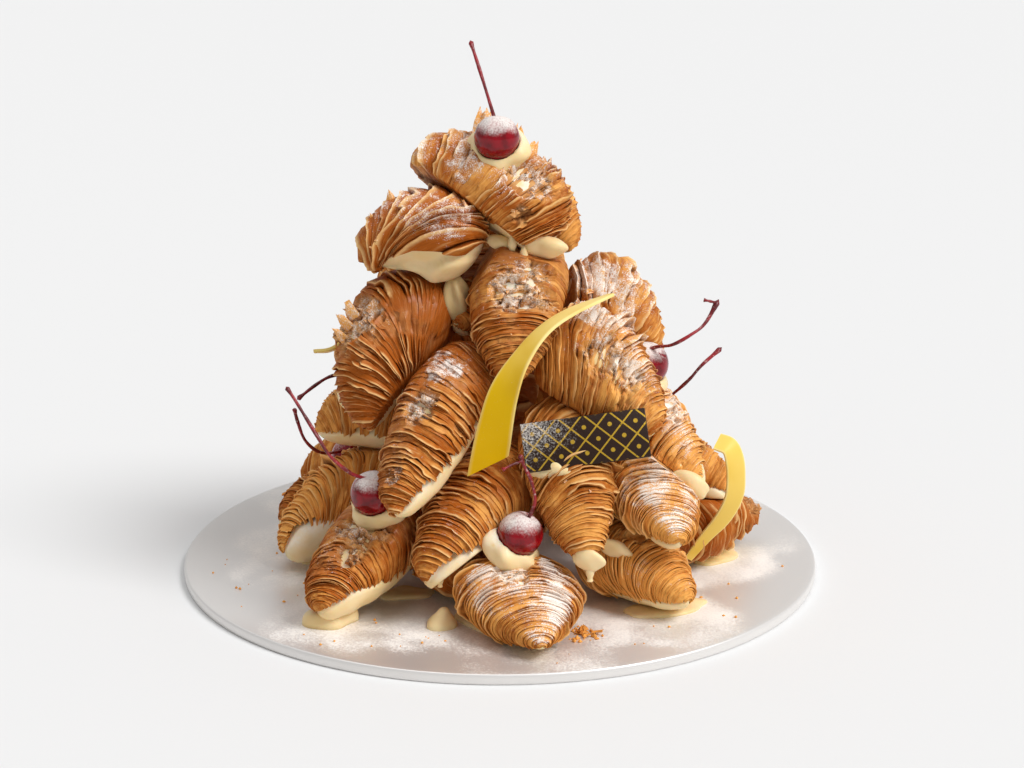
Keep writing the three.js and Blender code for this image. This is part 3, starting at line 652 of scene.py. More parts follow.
def slit(pastry, s):
    """Half the angle of the opening along the belly, wider at the tip where the cream is full."""
    s = 1 - s if pastry.mouth else s
    opened = ease(0.08, 0.3, s) * (1 + 2 * pastry.full * ease(0.5, 1, s))
    return math.radians(pastry.gape) * opened


class Skin:
    """The leaves of one pastry, one lip over the next: what each vertex of its shell is like."""

    def __init__(self, pastry, sizes):
        self.pastry = pastry
        self.segments, self.lining, pitch = SHELLS[pastry.fine]
        self.pitch = pitch * pastry.coarse
        self.walk = Walk(pastry)
        self.leaves = int((LEAVES_TO - LEAVES_FROM) * self.walk.long / self.pitch)
        self.rings = BUTT_RINGS + LEAF_RINGS * self.leaves + TIP_RINGS
        self.piece, self.ring, self.step = ball("shell_" + pastry.name, self.segments, self.rings)
        in_leaves = np.clip(self.ring - BUTT_RINGS, 0, LEAF_RINGS * self.leaves - 1)
        self.leaf, self.part = np.divmod(in_leaves, LEAF_RINGS)
        self.own = np.stack([self.leaf * 3.1, self.leaf * 5.3, self.leaf * 7.7], 1)
        self.lay()
        self.turn, self.inside = self.around()
        self.along = self.way * self.walk.long
        self.wander()
        self.stand()
        self.swell(sizes.lip / MM)
        self.tear()
        self.grow(sizes.crumble / MM)

    def noise(self, points, pattern):
        return noise(points, self.pastry.seed + pattern)

    def lay(self):
        """Spreads the leaves over the way: broad at the closed end, fine where the cream comes out."""
        share = (np.arange(self.leaves) + 0.5) / self.leaves
        share = 1 - share if self.pastry.mouth else share
        varied = np.exp([1.2 * (draw(self.pastry.seed, 40 + k) - 0.5) for k in range(self.leaves)])
        widths = (1.75 - 1.0 * ease(0.15, 0.75, share)) * varied
        starts = np.concatenate([[0], np.cumsum(widths)]) / np.sum(widths)
        at = starts[self.leaf] + (starts[self.leaf + 1] - starts[self.leaf]) * LEAF_AT[self.part]
        way = LEAVES_FROM + (LEAVES_TO - LEAVES_FROM) * at
        way = np.where(self.ring < BUTT_RINGS, LEAVES_FROM * self.ring / BUTT_RINGS, way)
        past = self.ring - (self.rings - TIP_RINGS)
        self.way = np.where(past >= 0, LEAVES_TO + (1 - LEAVES_TO) * (past / TIP_RINGS), way)
        self.body = (self.ring >= BUTT_RINGS) & (past < 0)
        self.width = widths[self.leaf]
        self.all_widths = np.sum(widths)

    def around(self):
        """Each vertex's angle round the slit shell, combed a little by its leaf, and if it is inside."""
        leaf = self.leaf
        comb = math.radians(9) * noise(np.stack([leaf * 1.7, leaf * 0, leaf * 0 + self.pastry.seed], 1), 5)
        comb += math.radians(2.5) * (1 - LEAF_UP[self.part])
        opening = slit(self.pastry, self.walk.s(self.way)) + comb * ease(0.1, 0.3, self.way)
        opening = np.maximum(opening, 0.01)
        outer = self.segments - self.lining
        turn = opening + (2 * math.pi - 2 * opening) * np.clip(self.step / (outer - 1), 0, 1)
        back = (self.step - outer + 1) / (self.lining + 1)
        inner = 2 * math.pi - opening - (2 * math.pi - 2 * opening) * back
        inside = self.step >= outer
        return np.where(inside, inner, turn), inside

    def wander(self):
        """Nibbles the leaves' edges, lets them drift and draws them together on one side."""
        pastry, turn = self.pastry, self.turn
        s = self.walk.s(self.way)
        spots = pastry.points(s, turn, pastry.radius(s, turn))
        bite = ease(0.25, 0.5, self.noise(spots / 7 + self.own, 51)) * self.body * (self.part > 0)
        way = self.way - 0.35 * bite * LEAF_AT[self.part] * self.width / self.all_widths
        drift = 2.6 * self.noise(spots / 26, 0) + 0.6 * self.noise(spots / 10, 50)
        drift += 3.0 * math.sin(6.3 * draw(pastry.seed, 7)) * np.sin(turn + 6.3 * draw(pastry.seed, 8))
        drift = drift / self.walk.long * ease(0, 0.15, way) * ease(1, 0.85, way) * self.body
        way = np.clip(way + drift, 0, 1)
        self.lean = (0.5 + 0.5 * np.cos(turn - pastry.gather)) ** 2.5
        drawn = pastry.fan * self.lean * (0.9 - way)
        self.way = way + drawn * ease(0, 0.12, way) * ease(1, 0.92, way)

    def stand(self):
        """The surface under the leaves: its points, the way out of it and the way along it."""
        pastry, turn = self.pastry, self.turn
        s = self.walk.s(self.way)
        self.radius = pastry.radius(s, turn)
        self.spots = pastry.points(s, turn, self.radius)
        _, belly, side = pastry.spine(s)
        tangent = np.cross(belly, side)
        flat_out = unit(np.cos(turn)[:, None] * belly + (pastry.flat * np.sin(turn))[:, None] * side)
        out, ahead = self.walk.slope(self.way)
        self.normal = unit(ahead[:, None] * flat_out - out[:, None] * tangent)
        self.forward = unit(out[:, None] * flat_out + ahead[:, None] * tangent)

    def swell(self, lip):
        """How high the leaves' edges stand, how calm the closed end is and where leaves have melted."""
        pastry, spots, own = self.pastry, self.spots, self.own
        each = np.maximum(0.8 + 0.55 * self.noise(own + 0.5, 9), 0.35)
        frill = 1 + 0.4 * self.noise(spots / 7 + own, 3) + 0.15 * self.noise(spots / 2.2 + own, 18)
        lifted = ease(0.25, 0.6, self.noise(spots / 18 + own * 0.02, 4))
        height = lip * each * self.width**0.5 * frill * (1 + 1.2 * lifted)
        height *= pastry.coarse * (1 + pastry.frayed * pastry.fan * (1 - self.lean))
        height *= (1.5 if pastry.fine == 0 else 1) * (1 - 0.35 * ease(0.75, 1, self.way))
        closed_end = 1 - self.way if pastry.mouth else self.way
        reach = 0.28 + 0.24 * pastry.calm
        calm = ease(reach + 0.13, reach - 0.13, closed_end + 0.35 * self.noise(spots / 15, 41))
        self.calm = calm * min(1, 1.2 * pastry.calm)
        self.melted = ease(0.05, -0.4, self.noise(spots / 12 + own * 0.3, 42))
        self.height = height * (1 - 0.92 * self.calm) * (1 - 0.75 * self.melted)

    def tear(self):
        """Where the crust is torn or snowed over, and the steps of its broken layers."""
        pastry, spots = self.pastry, self.spots
        torn, self.snow = torn_places(pastry, spots)
        wound = self.noise(spots / 15, 11) + 0.5 * self.noise(spots / 6, 12) + 0.35 * self.normal[:, 2]
        wound = ease(0.28, 0.62, wound - 0.35 + 0.35 * pastry.torn)
        wound *= ease(0.05, 0.2, self.way) * ease(0.97, 0.8, self.way)
        self.torn = np.maximum(torn, wound * pastry.torn * (0.3 if torn.any() else 0.8))
        grid = np.stack([self.along / 2.6, self.turn * pastry.girth / 8, self.along * 0], 1)
        layers = 2.6 * rough(grid, pastry.seed + 13) + 0.8 * self.noise(spots / 3.2, 17)
        self.storey = np.floor(layers)
        self.within = layers - self.storey

    def grow(self, crumble):
        """Raises the leaves and the crags of the torn places, and pushes the edges onward."""
        pastry, spots, part, torn = self.pastry, self.spots, self.part, self.torn
        up = LEAF_UP[part]
        self.lip = np.where(up < 0, up * (1 - 0.7 * self.melted), up) * self.body
        rise = self.height * self.lip * (1 - 0.75 * torn)
        crags = self.storey + ease(0.7, 1, self.within)
        rise += crumble * torn * (0.8 * crags - 0.6) + 0.7 * self.height * (torn * (1 - torn) * 4)
        rise += 0.16 * rough(spots / 2.2, pastry.seed + 14, 2) + 0.9 * self.noise(spots / 17, 15)
        push = 0.6 + 0.5 * self.noise(spots / 10 + self.own, 6) + 0.3 * self.noise(spots / 3 + self.own, 16)
        push *= np.where(part >= LEAF_EDGE, 0.35, 0.0) * self.width * self.pitch
        push *= self.body * (1 - 0.6 * torn)
        rise = np.maximum(np.where(self.inside, -SHELL_THICK + 0.3 * rise, rise), -0.75 * self.radius)
        push = np.where(self.inside, 0.3 * push, push)
        self.points = spots + rise[:, None] * self.normal + push[:, None] * self.forward

    def paint(self, sky):
        """Keeps what the material reads: painted shade, edges that are partly a painted highlight, bake
        (partly painted shade), layers and icing sugar.
        """
        piece, pastry, torn = self.piece, self.pastry, self.torn
        cracks = np.clip(1 - 3 * np.abs(self.within - 0.7), 0, 1)
        # painted shade between the leaves, and below in the cracks of torn crust
        painted_gap_shade = LEAF_SHADE[self.part] * self.body * (1 - 0.9 * self.melted) * (1 - 0.85 * self.calm)
        # pale edges: partly the dough's own paler bake, partly a painted highlight
        edge = (self.part == LEAF_EDGE) * self.body * np.clip(self.height / 1.6, 0.2, 1)
        mark(piece, "shade", painted_gap_shade * (1 - torn) + 0.9 * torn * cracks)
        mark(piece, "calm", self.calm * (1 - torn))
        mark(piece, "edge", edge * (1 - 0.5 * torn))
        mark(piece, "torn", torn)
        # painted shade: the bake comes out darker on the pastries inside the heap
        mark(piece, "bake", pastry.brown + 0.45 * self.noise(self.own + 0.1 * self.spots / 9, 19))
        mark(piece, "along", self.along)
        mark(piece, "round", self.turn * pastry.girth)
        ragged = 0.75 + 0.4 * noise(self.points / 2.5, 33)
        snow = self.snow * ease(-0.6, 0.3, self.normal[:, 2]) * ragged
        mark(piece, "sugar", np.clip(np.maximum(self.dusting(sky), snow), 0, 1) * ~self.inside)

    def dusting(self, sky):
        """Icing sugar settles on what looks up and has nothing above it."""
        clumps = 0.5 + 0.5 * self.noise(self.points / 13, 21) + 0.35 * self.noise(self.points / 5, 22)
        facing = ease(-0.1, 0.85, self.normal[:, 2] + 0.15 * clumps)
        amount = (self.pastry.sugar + 0.3 * self.torn) * facing * (0.3 + 0.8 * clumps)
        amount *= 0.5 + 0.5 * np.maximum(np.abs(self.lip), self.torn)
        return np.clip(amount * open_sky(self.points + 3 * self.normal, sky), 0, 1)


def shell(pastry, sizes, sky):
    """The baked crust of one pastry."""
    skin = Skin(pastry, sizes)
    place(skin.piece, pastry.pressed(skin.points))
    soften(skin.piece, 38)
    skin.paint(sky)
    return skin.piece


def torn_places(pastry, points):
    """How torn and how thickly sugared the crust is at each point."""
    torn = np.zeros(len(points))
    snow = np.zeros(len(points))
    ragged = 0.35 * noise(points / 3.5, pastry.seed + 12)
    for name, middle, size, ripped, dusted in PATCHES:
        if name == pastry.name:
            share = ease(1.15, 0.75, np.linalg.norm(points - middle, axis=1) / size + ragged)
            torn = np.maximum(torn, ripped * share)
            snow = np.maximum(snow, dusted * share)
    return torn, snow


def open_sky(points, sky):
    """The share of three ways up from each point that nothing blocks."""
    seen = np.zeros(len(points))
    for way in (Vector((0, 0, 1)), Vector((-0.2, -0.8, 1)), Vector((0.5, -0.5, 1))):
        seen += [sky.ray_cast(spot, way)[0] is None for spot in map(Vector, points * MM)]
    return seen / 3


def solids_above():
    """Every solid's faces, to ask what lies above a point."""
    corners, faces = [], []
    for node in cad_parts.values():
        first = len(corners)
        corners += [corner.co.copy() for corner in node.data.vertices]
        faces += [[first + k for k in face.vertices] for face in node.data.polygons]
    return BVHTree.FromPolygons(corners, faces)


def filling(pastry, sizes, sky):
    """The cream inside one pastry, which bulges out of its slit."""
    piece, share, turn = globe("filling_" + pastry.name, *FILLINGS[pastry.fine])
    s = (1 - np.cos(math.pi * share)) / 2
    # more of the steps lie in the opening than behind it
    wrapped = np.where(turn > math.pi, 2 * math.pi - turn, turn)
    turn = np.where(turn > math.pi, -1, 1) * wrapped * (0.45 + 0.55 * (wrapped / math.pi) ** 1.5)
    across = np.abs(turn) / np.maximum(slit(pastry, s), 0.2)
    open_end = 1 - s if pastry.mouth else s
    radius = pastry.radius(s, turn)
    spots = pastry.points(s, turn, radius)
    waves = 0.7 * noise(spots / 9, pastry.seed + 31) + 0.35 * noise(spots / 4, pastry.seed + 32)
    swell = sizes.ooze / MM * pastry.full * np.clip(1 - across**2, 0, 1) * ease(0.15, 0.6, open_end)
    shown = radius - 0.6 + swell + waves * ease(0.5, 0.9, s + 0.4 * pastry.full)
    hidden = np.maximum(0.84 * radius - 1.2, 0.3 * radius)
    radius = hidden + (shown - hidden) * ease(1.12, 0.85, across)
    middle, belly, side = pastry.spine(s)
    onward = np.cross(belly, side) * (-1 if pastry.mouth else 1)
    sag = (2.4 * pastry.full * ease(0.8, 1, open_end))[:, None] * (belly + 0.8 * onward)
    points = pastry.pressed(pastry.points(s, turn, radius) + sag, 0.5)
    place(piece, points)
    outward = unit(points - middle)
    mark(piece, "sugar", 0.9 * settled(points + 2 * outward, outward[:, 2] + 0.2, sky, pastry.seed))
    return piece


# ---- Cherries and cream ----
def turned(up):
    """Three ways at right angles, the last one up."""
    up = unit(np.asarray(up, float))
    side = unit(np.cross(up, (0.3, 0.9, 0.1)))
    return side, np.cross(up, side), up


def settled(points, facing, sky, pattern):
    """How much icing sugar lies on points that face that way up."""
    clumps = 0.6 + 0.4 * noise(points / 6, pattern)
    return np.clip(ease(-0.05, 0.8, facing) * clumps * open_sky(points, sky), 0, 1)


def cherry(name, sizes, sky, seed):
    """One cherry, a little lumpy and dimpled where its stem goes in."""
    at, _, line, _ = CHERRIES[name]
    piece, share, turn = globe("cherry_" + name, segments=48, rings=32)
    tilt = math.pi * share
    side, over, up = turned(np.subtract(line[0], at))
    way = np.sin(tilt)[:, None] * (np.cos(turn)[:, None] * side + np.sin(turn)[:, None] * over)
    way = way + np.cos(tilt)[:, None] * up
    dimple = 0.16 * np.exp(-((tilt / 0.3) ** 2))
    radius = sizes.cherry_radius / MM * (1 - dimple + 0.02 * noise(way * 2, seed))
    points = at + radius[:, None] * way
    place(piece, points)
    facing = ease(-0.15, 0.9, way[:, 2] + 0.12 * noise(points / 4, seed))
    mark(piece, "sugar", facing * (0.3 + 0.7 * open_sky(points + 9 * way, sky)))
    return piece


def stems(name, sizes, seed):
    """A cherry's stem, which starts inside it, and its fork if it has one."""
    at, _, line, fork = CHERRIES[name]
    thick = sizes.stem_radius / MM
    start = at + 0.75 * np.subtract(line[0], at)
    bars = [bar("stem_" + name, [start, *line], thick, seed)]
    if fork:
        bars.append(bar("fork_" + name, fork, 0.8 * thick, seed))
    return bars


def bar(name, line, thick, seed):
    """A closed, uneven round bar along the points, with a knob at its end."""
    piece, s, turn = globe(name, segments=10, rings=40)
    middle = catmull(line, s)
    ahead = unit(catmull(line, s + 0.01) - catmull(line, s - 0.01))
    side = unit(np.cross((0.3, 1, 0.2), ahead))
    flare = 0.9 * ease(0.9, 0.99, s) + 0.4 * ease(0.08, 0.0, s) + 0.12 * np.sin(19 * s + seed)
    radius = thick * (1 + flare) * np.sqrt(np.clip(1 - np.abs(2 * s - 1) ** 40, 0, 1))
    out = np.cos(turn)[:, None] * side + np.sin(turn)[:, None] * np.cross(ahead, side)
    return place(piece, middle + radius[:, None] * out)


def blob(name, at, up, half, waves, seed, segments=64, rings=36):
    """A soft mass of cream with piped ridges, drawn up where its peak says."""
    piece, share, turn = globe(name, segments, rings)
    tilt = math.pi * share
    side, over, up = turned(up)
    count, depth, twist, peak = waves
    wide = np.sin(tilt) * (1 + depth * np.cos(count * turn + twist * np.cos(tilt) + seed) * np.sin(tilt))
    high = np.cos(tilt)
    wide = wide * (1 - peak * ease(0.1, 1, high) * 0.75)
    high = high + peak * ease(0.75, 1, high) * 0.5
    spread = (wide * np.cos(turn) * half[0])[:, None] * side + (wide * np.sin(turn) * half[1])[:, None] * over
    points = np.asarray(at, float) + spread + (high * half[2])[:, None] * up
    points = points + (0.09 * half[0] * noise(points / 6, seed + 3))[:, None] * unit(points - at)
    return piece, points


def rosette(name, sizes, sky, seed):
    """The piped cream that holds a cherry, pressed out where the cherry sits."""
    at, bed = (np.array(v, float) for v in CHERRIES[name][:2])
    wide, high = sizes.rosette_radius / MM, sizes.rosette_height / MM
    waves = (4 + seed % 3, 0.07, 2.0, 0.0)
    piece, points = blob("rosette_" + name, bed, at - bed, (wide, wide * 0.94, high), waves, seed)
    # the cherry presses a seat into the top
    up = unit(at - bed)
    away = points - at
    deep = away @ up
    beside = np.linalg.norm(away - deep[:, None] * up, axis=1)
    held = sizes.cherry_radius / MM + GAP
    seat = -np.sqrt(np.maximum(held**2 - beside**2, 0))
    over = (beside < held) & (deep > seat)
    points = points - np.where(over, deep - seat, 0)[:, None] * up
    place(piece, points)
    outward = unit(points - bed)
    mark(piece, "sugar", 0.8 * settled(points + 2 * outward, outward[:, 2], sky, seed))
    return piece


def dollop(name, seed):
    """Cream piped on its own: ridged, or a drop whose tip leans over."""
    at, half, ridges, shaded, peak = DOLLOPS[name]
    waves = (3, ridges, 0.5, peak) if peak else (5, ridges, 3.0, 0.0)
    piece, points = blob(name, at, (0, 0, 1), half, waves, seed)
    if peak:
        top = np.clip((points[:, 2] - BOARD_TOP) / (1.5 * half[2]), 0, 1)
        points[:, 0] += 1.8 * top**2
        points[:, 2] = np.maximum(points[:, 2], BOARD_TOP - 0.2)
    # painted shade: how far this cream is darkened for the shade it lies in
    mark(piece, "deep", shaded)
    return place(piece, points)


def puddle(index, x, y, long, wide, degrees, tall):
    """Cream that has run out flat on the board."""
    piece, share, turn = globe(f"puddle_{index + 1}", segments=56, rings=24)
    tilt = math.pi * share
    circle = np.stack([np.cos(turn) * 1.6, np.sin(turn) * 1.6, turn * 0 + index * 3.7], 1)
    edge = np.sin(tilt) ** 0.6 * (1 + 0.22 * noise(circle, 60))
    along, across = edge * np.cos(turn) * long, edge * np.sin(turn) * wide
    lift = tall * np.clip(np.cos(tilt), 0, 1) ** 0.6
    high = BOARD_TOP - 0.3 + lift * (1 + 0.3 * noise(np.stack([along / 7, across / 7, along * 0], 1), 61))
    cos, sin = math.cos(math.radians(degrees)), math.sin(math.radians(degrees))
    return place(piece, np.stack([x + along * cos - across * sin, y + along * sin + across * cos, high], 1))


def spill(index, middle, half, up):
    """A lump of cream pressed out at a tail's end."""
    waves = (3, 0.09, 2.5, 0.0)
    piece, points = blob(f"spill_{index + 1}", middle, up, half, waves, index, segments=40, rings=24)
    return place(piece, points)


def drip(index, at, long, thick):
    """A drop of cream that hangs from a tail."""
    piece, share, turn = globe(f"drip_{index + 1}", segments=20, rings=24)
    neck = np.sqrt(np.clip(share * (2 - share), 0, 1))
    pear = 1.5 - 0.95 * ease(0.0, 0.55, share) + 0.35 * ease(0.55, 0.85, share)
    radius = thick * np.sin(math.pi * share) ** 0.5 * pear
    points = np.stack([radius * np.cos(turn), radius * np.sin(turn), thick - (long + thick) * neck], 1)
    return place(piece, at + points)


# ---- Chocolate and board ----
def curl(name, sizes):
    """A bent band of chocolate with blunt edges."""
    (slant, fading, pale), rows = CURLS[name]
    middles, across, widths = zip(*rows)
    segments, rings = 24, 72
    piece, ring, step = ball(name, segments, rings)
    s = np.clip((ring - 1) / (rings - 2), 0, 1)
    full = ((ring > 0) & (ring < rings)).astype(float)
    middle = catmull(middles, s)
    ahead = unit(catmull(middles, s + 0.01) - catmull(middles, s - 0.01))
    ahead = np.where((s > 0.985)[:, None], unit(middle - catmull(middles, s - 0.02)), ahead)
    ahead = np.where((s < 0.015)[:, None], unit(catmull(middles, s + 0.02) - middle), ahead)
    way = catmull([unit(np.array(v, float)) for v in across], s)
    way = unit(way - ahead * np.sum(way * ahead, axis=1, keepdims=True))
    turn = 2 * math.pi * step / segments
    wide = catmull(widths, s)[:, 0] / 2 * full
    along, out = (np.sign(v) * np.abs(v) ** 0.35 for v in (np.cos(turn), np.sin(turn)))
    deep = out * sizes.curl_thick / MM / 2 * full
    points = middle + (along * wide)[:, None] * way + deep[:, None] * np.cross(way, ahead)
    points += (slant * along / 2 * np.clip(1 - s / 0.2, 0, 1) * full)[:, None] * ahead
    place(piece, points)
    soften(piece, 40)
    # painted light: a band's paleness all over stands for the light on it
    pale = pale + 0.75 * ease(0.8, 1.0, np.abs(along)) + fading * ease(0.28, 0.95, s)
    mark(piece, "pale", np.clip(pale, 0, 1))
    return piece


def plaque(sizes):
    """A printed leaf of dark chocolate with softened edges."""
    bpy.ops.object.select_all(action="DESELECT")
    bpy.ops.mesh.primitive_cube_add(size=1)
    piece = named("plaque")
    long, thick, high = sizes.plaque_long, sizes.plaque_thick, sizes.plaque_high
    bpy.ops.object.mode_set(mode="EDIT")
    bpy.ops.mesh.select_all(action="SELECT")
    bpy.ops.transform.resize(value=(long, thick, high))
    bpy.ops.mesh.bevel(offset=PLAQUE_BEVEL, segments=3, affect="EDGES")
    bpy.ops.object.mode_set(mode="OBJECT")
    spots = fetch(piece.data.vertices, "co", 3)
    mark(piece, "across", spots[:, 0] / high)
    mark(piece, "up", spots[:, 2] / high)
    mark(piece, "face", np.abs(spots[:, 1]) > 0.49 * thick)
    mark(piece, "sugar", np.clip(-1.3 * spots[:, 0] / long + 0.35 * spots[:, 2] / high, 0, 1))
    along = Vector(PLAQUE_ALONG).normalized()
    up = Vector(PLAQUE_UP)
    up = (up - along * up.dot(along)).normalized()
    turn = Matrix((along, up.cross(along), up)).transposed().to_4x4()
    turn.translation = Vector(PLAQUE_AT) * MM
    piece.data.transform(turn)
    piece.data.update()
    soften(piece, 40)
    return piece


def board(sizes, pastries):
    """The round cake board with its softened foil edge."""
    steps, top_rings, edge_rings, under_rings = 192, 50, 10, 4
    last_edge = top_rings + edge_rings
    piece, ring, step = ball("cake_board", steps, last_edge + under_rings)
    radius, thick = sizes.board_radius / MM, sizes.board_thick / MM
    soft = 1.1
    flat = radius - soft
    turn = 2 * math.pi * step / steps
    bend = np.clip((ring - top_rings) / edge_rings, 0, 1) * math.pi
    on_top, on_edge = ring <= top_rings, ring <= last_edge
    edge = flat + soft * np.abs(np.sin(bend)) ** 0.7
    under = flat * (1 - np.clip((ring - last_edge) / under_rings, 0, 1))
    out = np.where(on_top, flat * np.clip(ring / top_rings, 0, 1) ** 0.85, np.where(on_edge, edge, under))
    high = np.where(on_top, thick, np.where(on_edge, thick / 2 * (1 + np.cos(bend)), 0.0))
    points = np.stack([out * np.cos(turn), out * np.sin(turn), high], 1)
    place(piece, points)
    near = np.full(len(points), 99.0)
    for pastry in pastries:
        line = pastry.spine(np.linspace(0.1, 0.95, 9))[0]
        low_line = line[line[:, 2] < LYING_LOW]
        if len(low_line):
            apart = np.linalg.norm(points[:, None, :2] - low_line[None, :, :2], axis=2).min(axis=1)
            near = np.minimum(near, apart - pastry.girth)
    spread = 0.5 + 0.5 * noise(points / 26, 70) + 0.4 * noise(points / 9, 71)
    top_side = points[:, 2] > thick - 0.1
    mark(piece, "sugar", np.clip(ease(20, 0, near) * (0.3 + 0.7 * spread), 0, 1) * top_side)
    # painted reflection: the foil's front towards the left is marked for a warm, darker reflection of the
    # pastries
    mark(piece, "deep", ease(-70, -145, points[:, 1]) * ease(90, -20, points[:, 0]) * top_side)
    return piece


# ---- Loose leaves and crumbs ----
def scatter(name, shapes):
    """Joins many small closed shapes, each with corners, faces and a bake, into one piece."""
    corners, faces, bakes, first = [], [], [], 0
    for points, sides, bake in shapes:
        corners.append(points)
        faces += [[first + k for k in side] for side in sides]
        bakes += [bake] * len(points)
        first += len(points)
    mesh = bpy.data.meshes.new(name)
    mesh.from_pydata((np.concatenate(corners) * MM).tolist(), [], faces)
    piece = bpy.data.objects.new(name, mesh)
    bpy.context.collection.objects.link(piece)
    mark(piece, "bake", bakes)
    return piece


def flake(at, normal, forward, size, draws):
    """A thin, bent scrap of baked leaf with a ragged edge, three corners long and five wide."""
    lean = math.radians(3 + 34 * draws[0] ** 2)
    swing = (draws[1] - 0.5) * 1.6
    ahead = forward * math.cos(swing) + np.cross(normal, forward) * math.sin(swing)
    across = np.cross(normal, ahead)
    grid = []
    for j in range(3):
        tilt = lean + (draws[2] - 0.4) * 0.9 * j / 2
        middle = at - 0.6 * normal + size * j / 2 * (math.cos(tilt) * ahead + math.sin(tilt) * normal)
        wide = size * (0.28 + 0.25 * draws[3]) * (1, 0.8, 0.35)[j]
        for i in range(5):
            ragged = size * (0.16 * math.sin(9.1 * i + 20 * draws[4]) + 0.1 * math.sin(23 * i + 9 * draws[1]))
            bow = 0.14 * size * math.sin(1.7 * i + 6 * draws[3])
            grid.append(middle + across * (i / 2 - 1) * wide + ahead * ragged * j / 2 + normal * bow * j / 2)
    grid = np.array(grid)
    thin = 0.12 * unit(np.cross(grid[6] - grid[5], grid[10] - grid[5]))
    faces = []
    for a in (5 * j + i for j in range(2) for i in range(4)):
        faces += [(a, a + 1, a + 6, a + 5), (a + 15, a + 20, a + 21, a + 16)]
    rim = [0, 1, 2, 3, 4, 9, 14, 13, 12, 11, 10, 5]
    for one, two in zip(rim, rim[1:] + rim[:1]):
        faces.append((two, one, one + 15, two + 15))
    return np.concatenate([grid + thin, grid - thin]), faces, -0.3 + 0.7 * draws[3]


def scraps(pastry, piece, sky):
    """Flakes on one pastry, most of them where its crust is torn."""
    spots = fetch(piece.data.vertices, "co", 3) / MM
    normals = fetch(piece.data.vertices, "normal", 3)
    torn, edge = (fetch(piece.data.attributes[name].data, "value") for name in ("torn", "edge"))
    likely = np.where(torn > 0.35, 6.0, 0.0) + np.where(edge > 0.5, 0.35, 0.0)
    likely *= ease(-0.5, 0.4, normals[:, 2])
    if likely.sum() == 0:
        return []
    picker = np.random.default_rng(pastry.seed)
    count = int(FLAKES[pastry.fine] * (0.4 + pastry.torn))
    ahead = unit(pastry.chord)
    flakes = []
    for spot in picker.choice(len(likely), size=count, p=likely / likely.sum()):
        normal = normals[spot]
        forward = unit(ahead - normal * (ahead @ normal))
        draws = picker.random(6)
        size = 1.3 + 2.2 * draws[5] ** 2
        if open_sky(spots[spot : spot + 1] + 3 * normal, sky)[0] > 0:
            flakes.append(flake(spots[spot], normal, forward, size, draws))
    return flakes


def shard(foot, tip):
    """A long scrap that stands up from the crust."""
    way = np.subtract(tip, foot).astype(float)
    size = float(np.linalg.norm(way))
    way /= size
    toward = unit(SHARDS_FACE - way * (SHARDS_FACE @ way))
    points, sides, _ = flake(np.array(foot, float), toward, way, size, (0, 0.5, 0.1, 0.8, size % 1))
    return points, sides, -0.7


def crumbs():
    """Crumbs of baked leaf on the board, and a few flakes in their heap."""
    picker = np.random.default_rng(5)
    shapes = []
    for k in range(CRUMBS):
        if k < CRUMBS_IN_HEAP:
            spot = np.array(CRUMBS_AT) + picker.normal(0, 4.0, 2)
        else:
            turn = picker.uniform(math.pi, 2 * math.pi)
            spot = np.array([math.cos(turn), math.sin(turn)]) * picker.uniform(100, 143)
        size = picker.uniform(0.35, 1.0) * (1.7 if k < CRUMBS_COARSE else 1.0)
        corners = np.array([[1, 0, 0], [-1, 0, 0], [0, 1, 0], [0, -1, 0], [0, 0, 1], [0, 0, -1]], float)
        corners = corners * picker.uniform(0.5, 1.2, (6, 3)) * size
        sides = [(0, 2, 4), (2, 1, 4), (1, 3, 4), (3, 0, 4), (2, 0, 5), (1, 2, 5), (3, 1, 5), (0, 3, 5)]
        shapes.append((corners + [*spot, BOARD_TOP + 0.4 * size], sides, 0.0))
    for k in range(CRUMB_FLAKES):
        turn, draws = 1.3 * k, picker.random(6)
        x, y = CRUMBS_AT[0] + 3.5 * math.cos(turn), CRUMBS_AT[1] + 2.5 * math.sin(turn)
        forward = np.array([math.cos(2 * turn), math.sin(2 * turn), 0])
        up = np.array([0.0, 0.0, 1.0])
        shapes.append(flake(np.array([x, y, BOARD_TOP + 1.4]), up, forward, 3 + 3 * draws[5], draws))
    return scatter("board_crumbs", shapes)


# ---- Materials ----
class Value:
    """A number in a material, on which Python's own signs work."""

    def __init__(self, paint, socket):
        self.paint = paint
        self.socket = socket

    def math(self, operation, *others, clamp=False):
        settings = {"operation": operation, "use_clamp": clamp}
        return self.paint.node("Math", settings, dict(enumerate((self, *others))))

    def __add__(self, other):
        return self.math("ADD", other)

    def __sub__(self, other):
        return self.math("SUBTRACT", other)

    def __rsub__(self, other):
        return self.paint.node("Math", {"operation": "SUBTRACT"}, {0: other, 1: self})

    def __mul__(self, other):
        return self.math("MULTIPLY", other)

    def __pow__(self, other):
        return self.math("POWER", other)

    def clamped(self):
        return self.math("ADD", 0.0, clamp=True)

    def between(self, low, high):
        """0 below low, 1 above high and a smooth rise between."""
        inputs = {0: self, 1: low, 2: high, 3: 0.0, 4: 1.0}
        return self.paint.node("MapRange", {"interpolation_type": "SMOOTHSTEP"}, inputs)

    __radd__ = __add__
    __rmul__ = __mul__


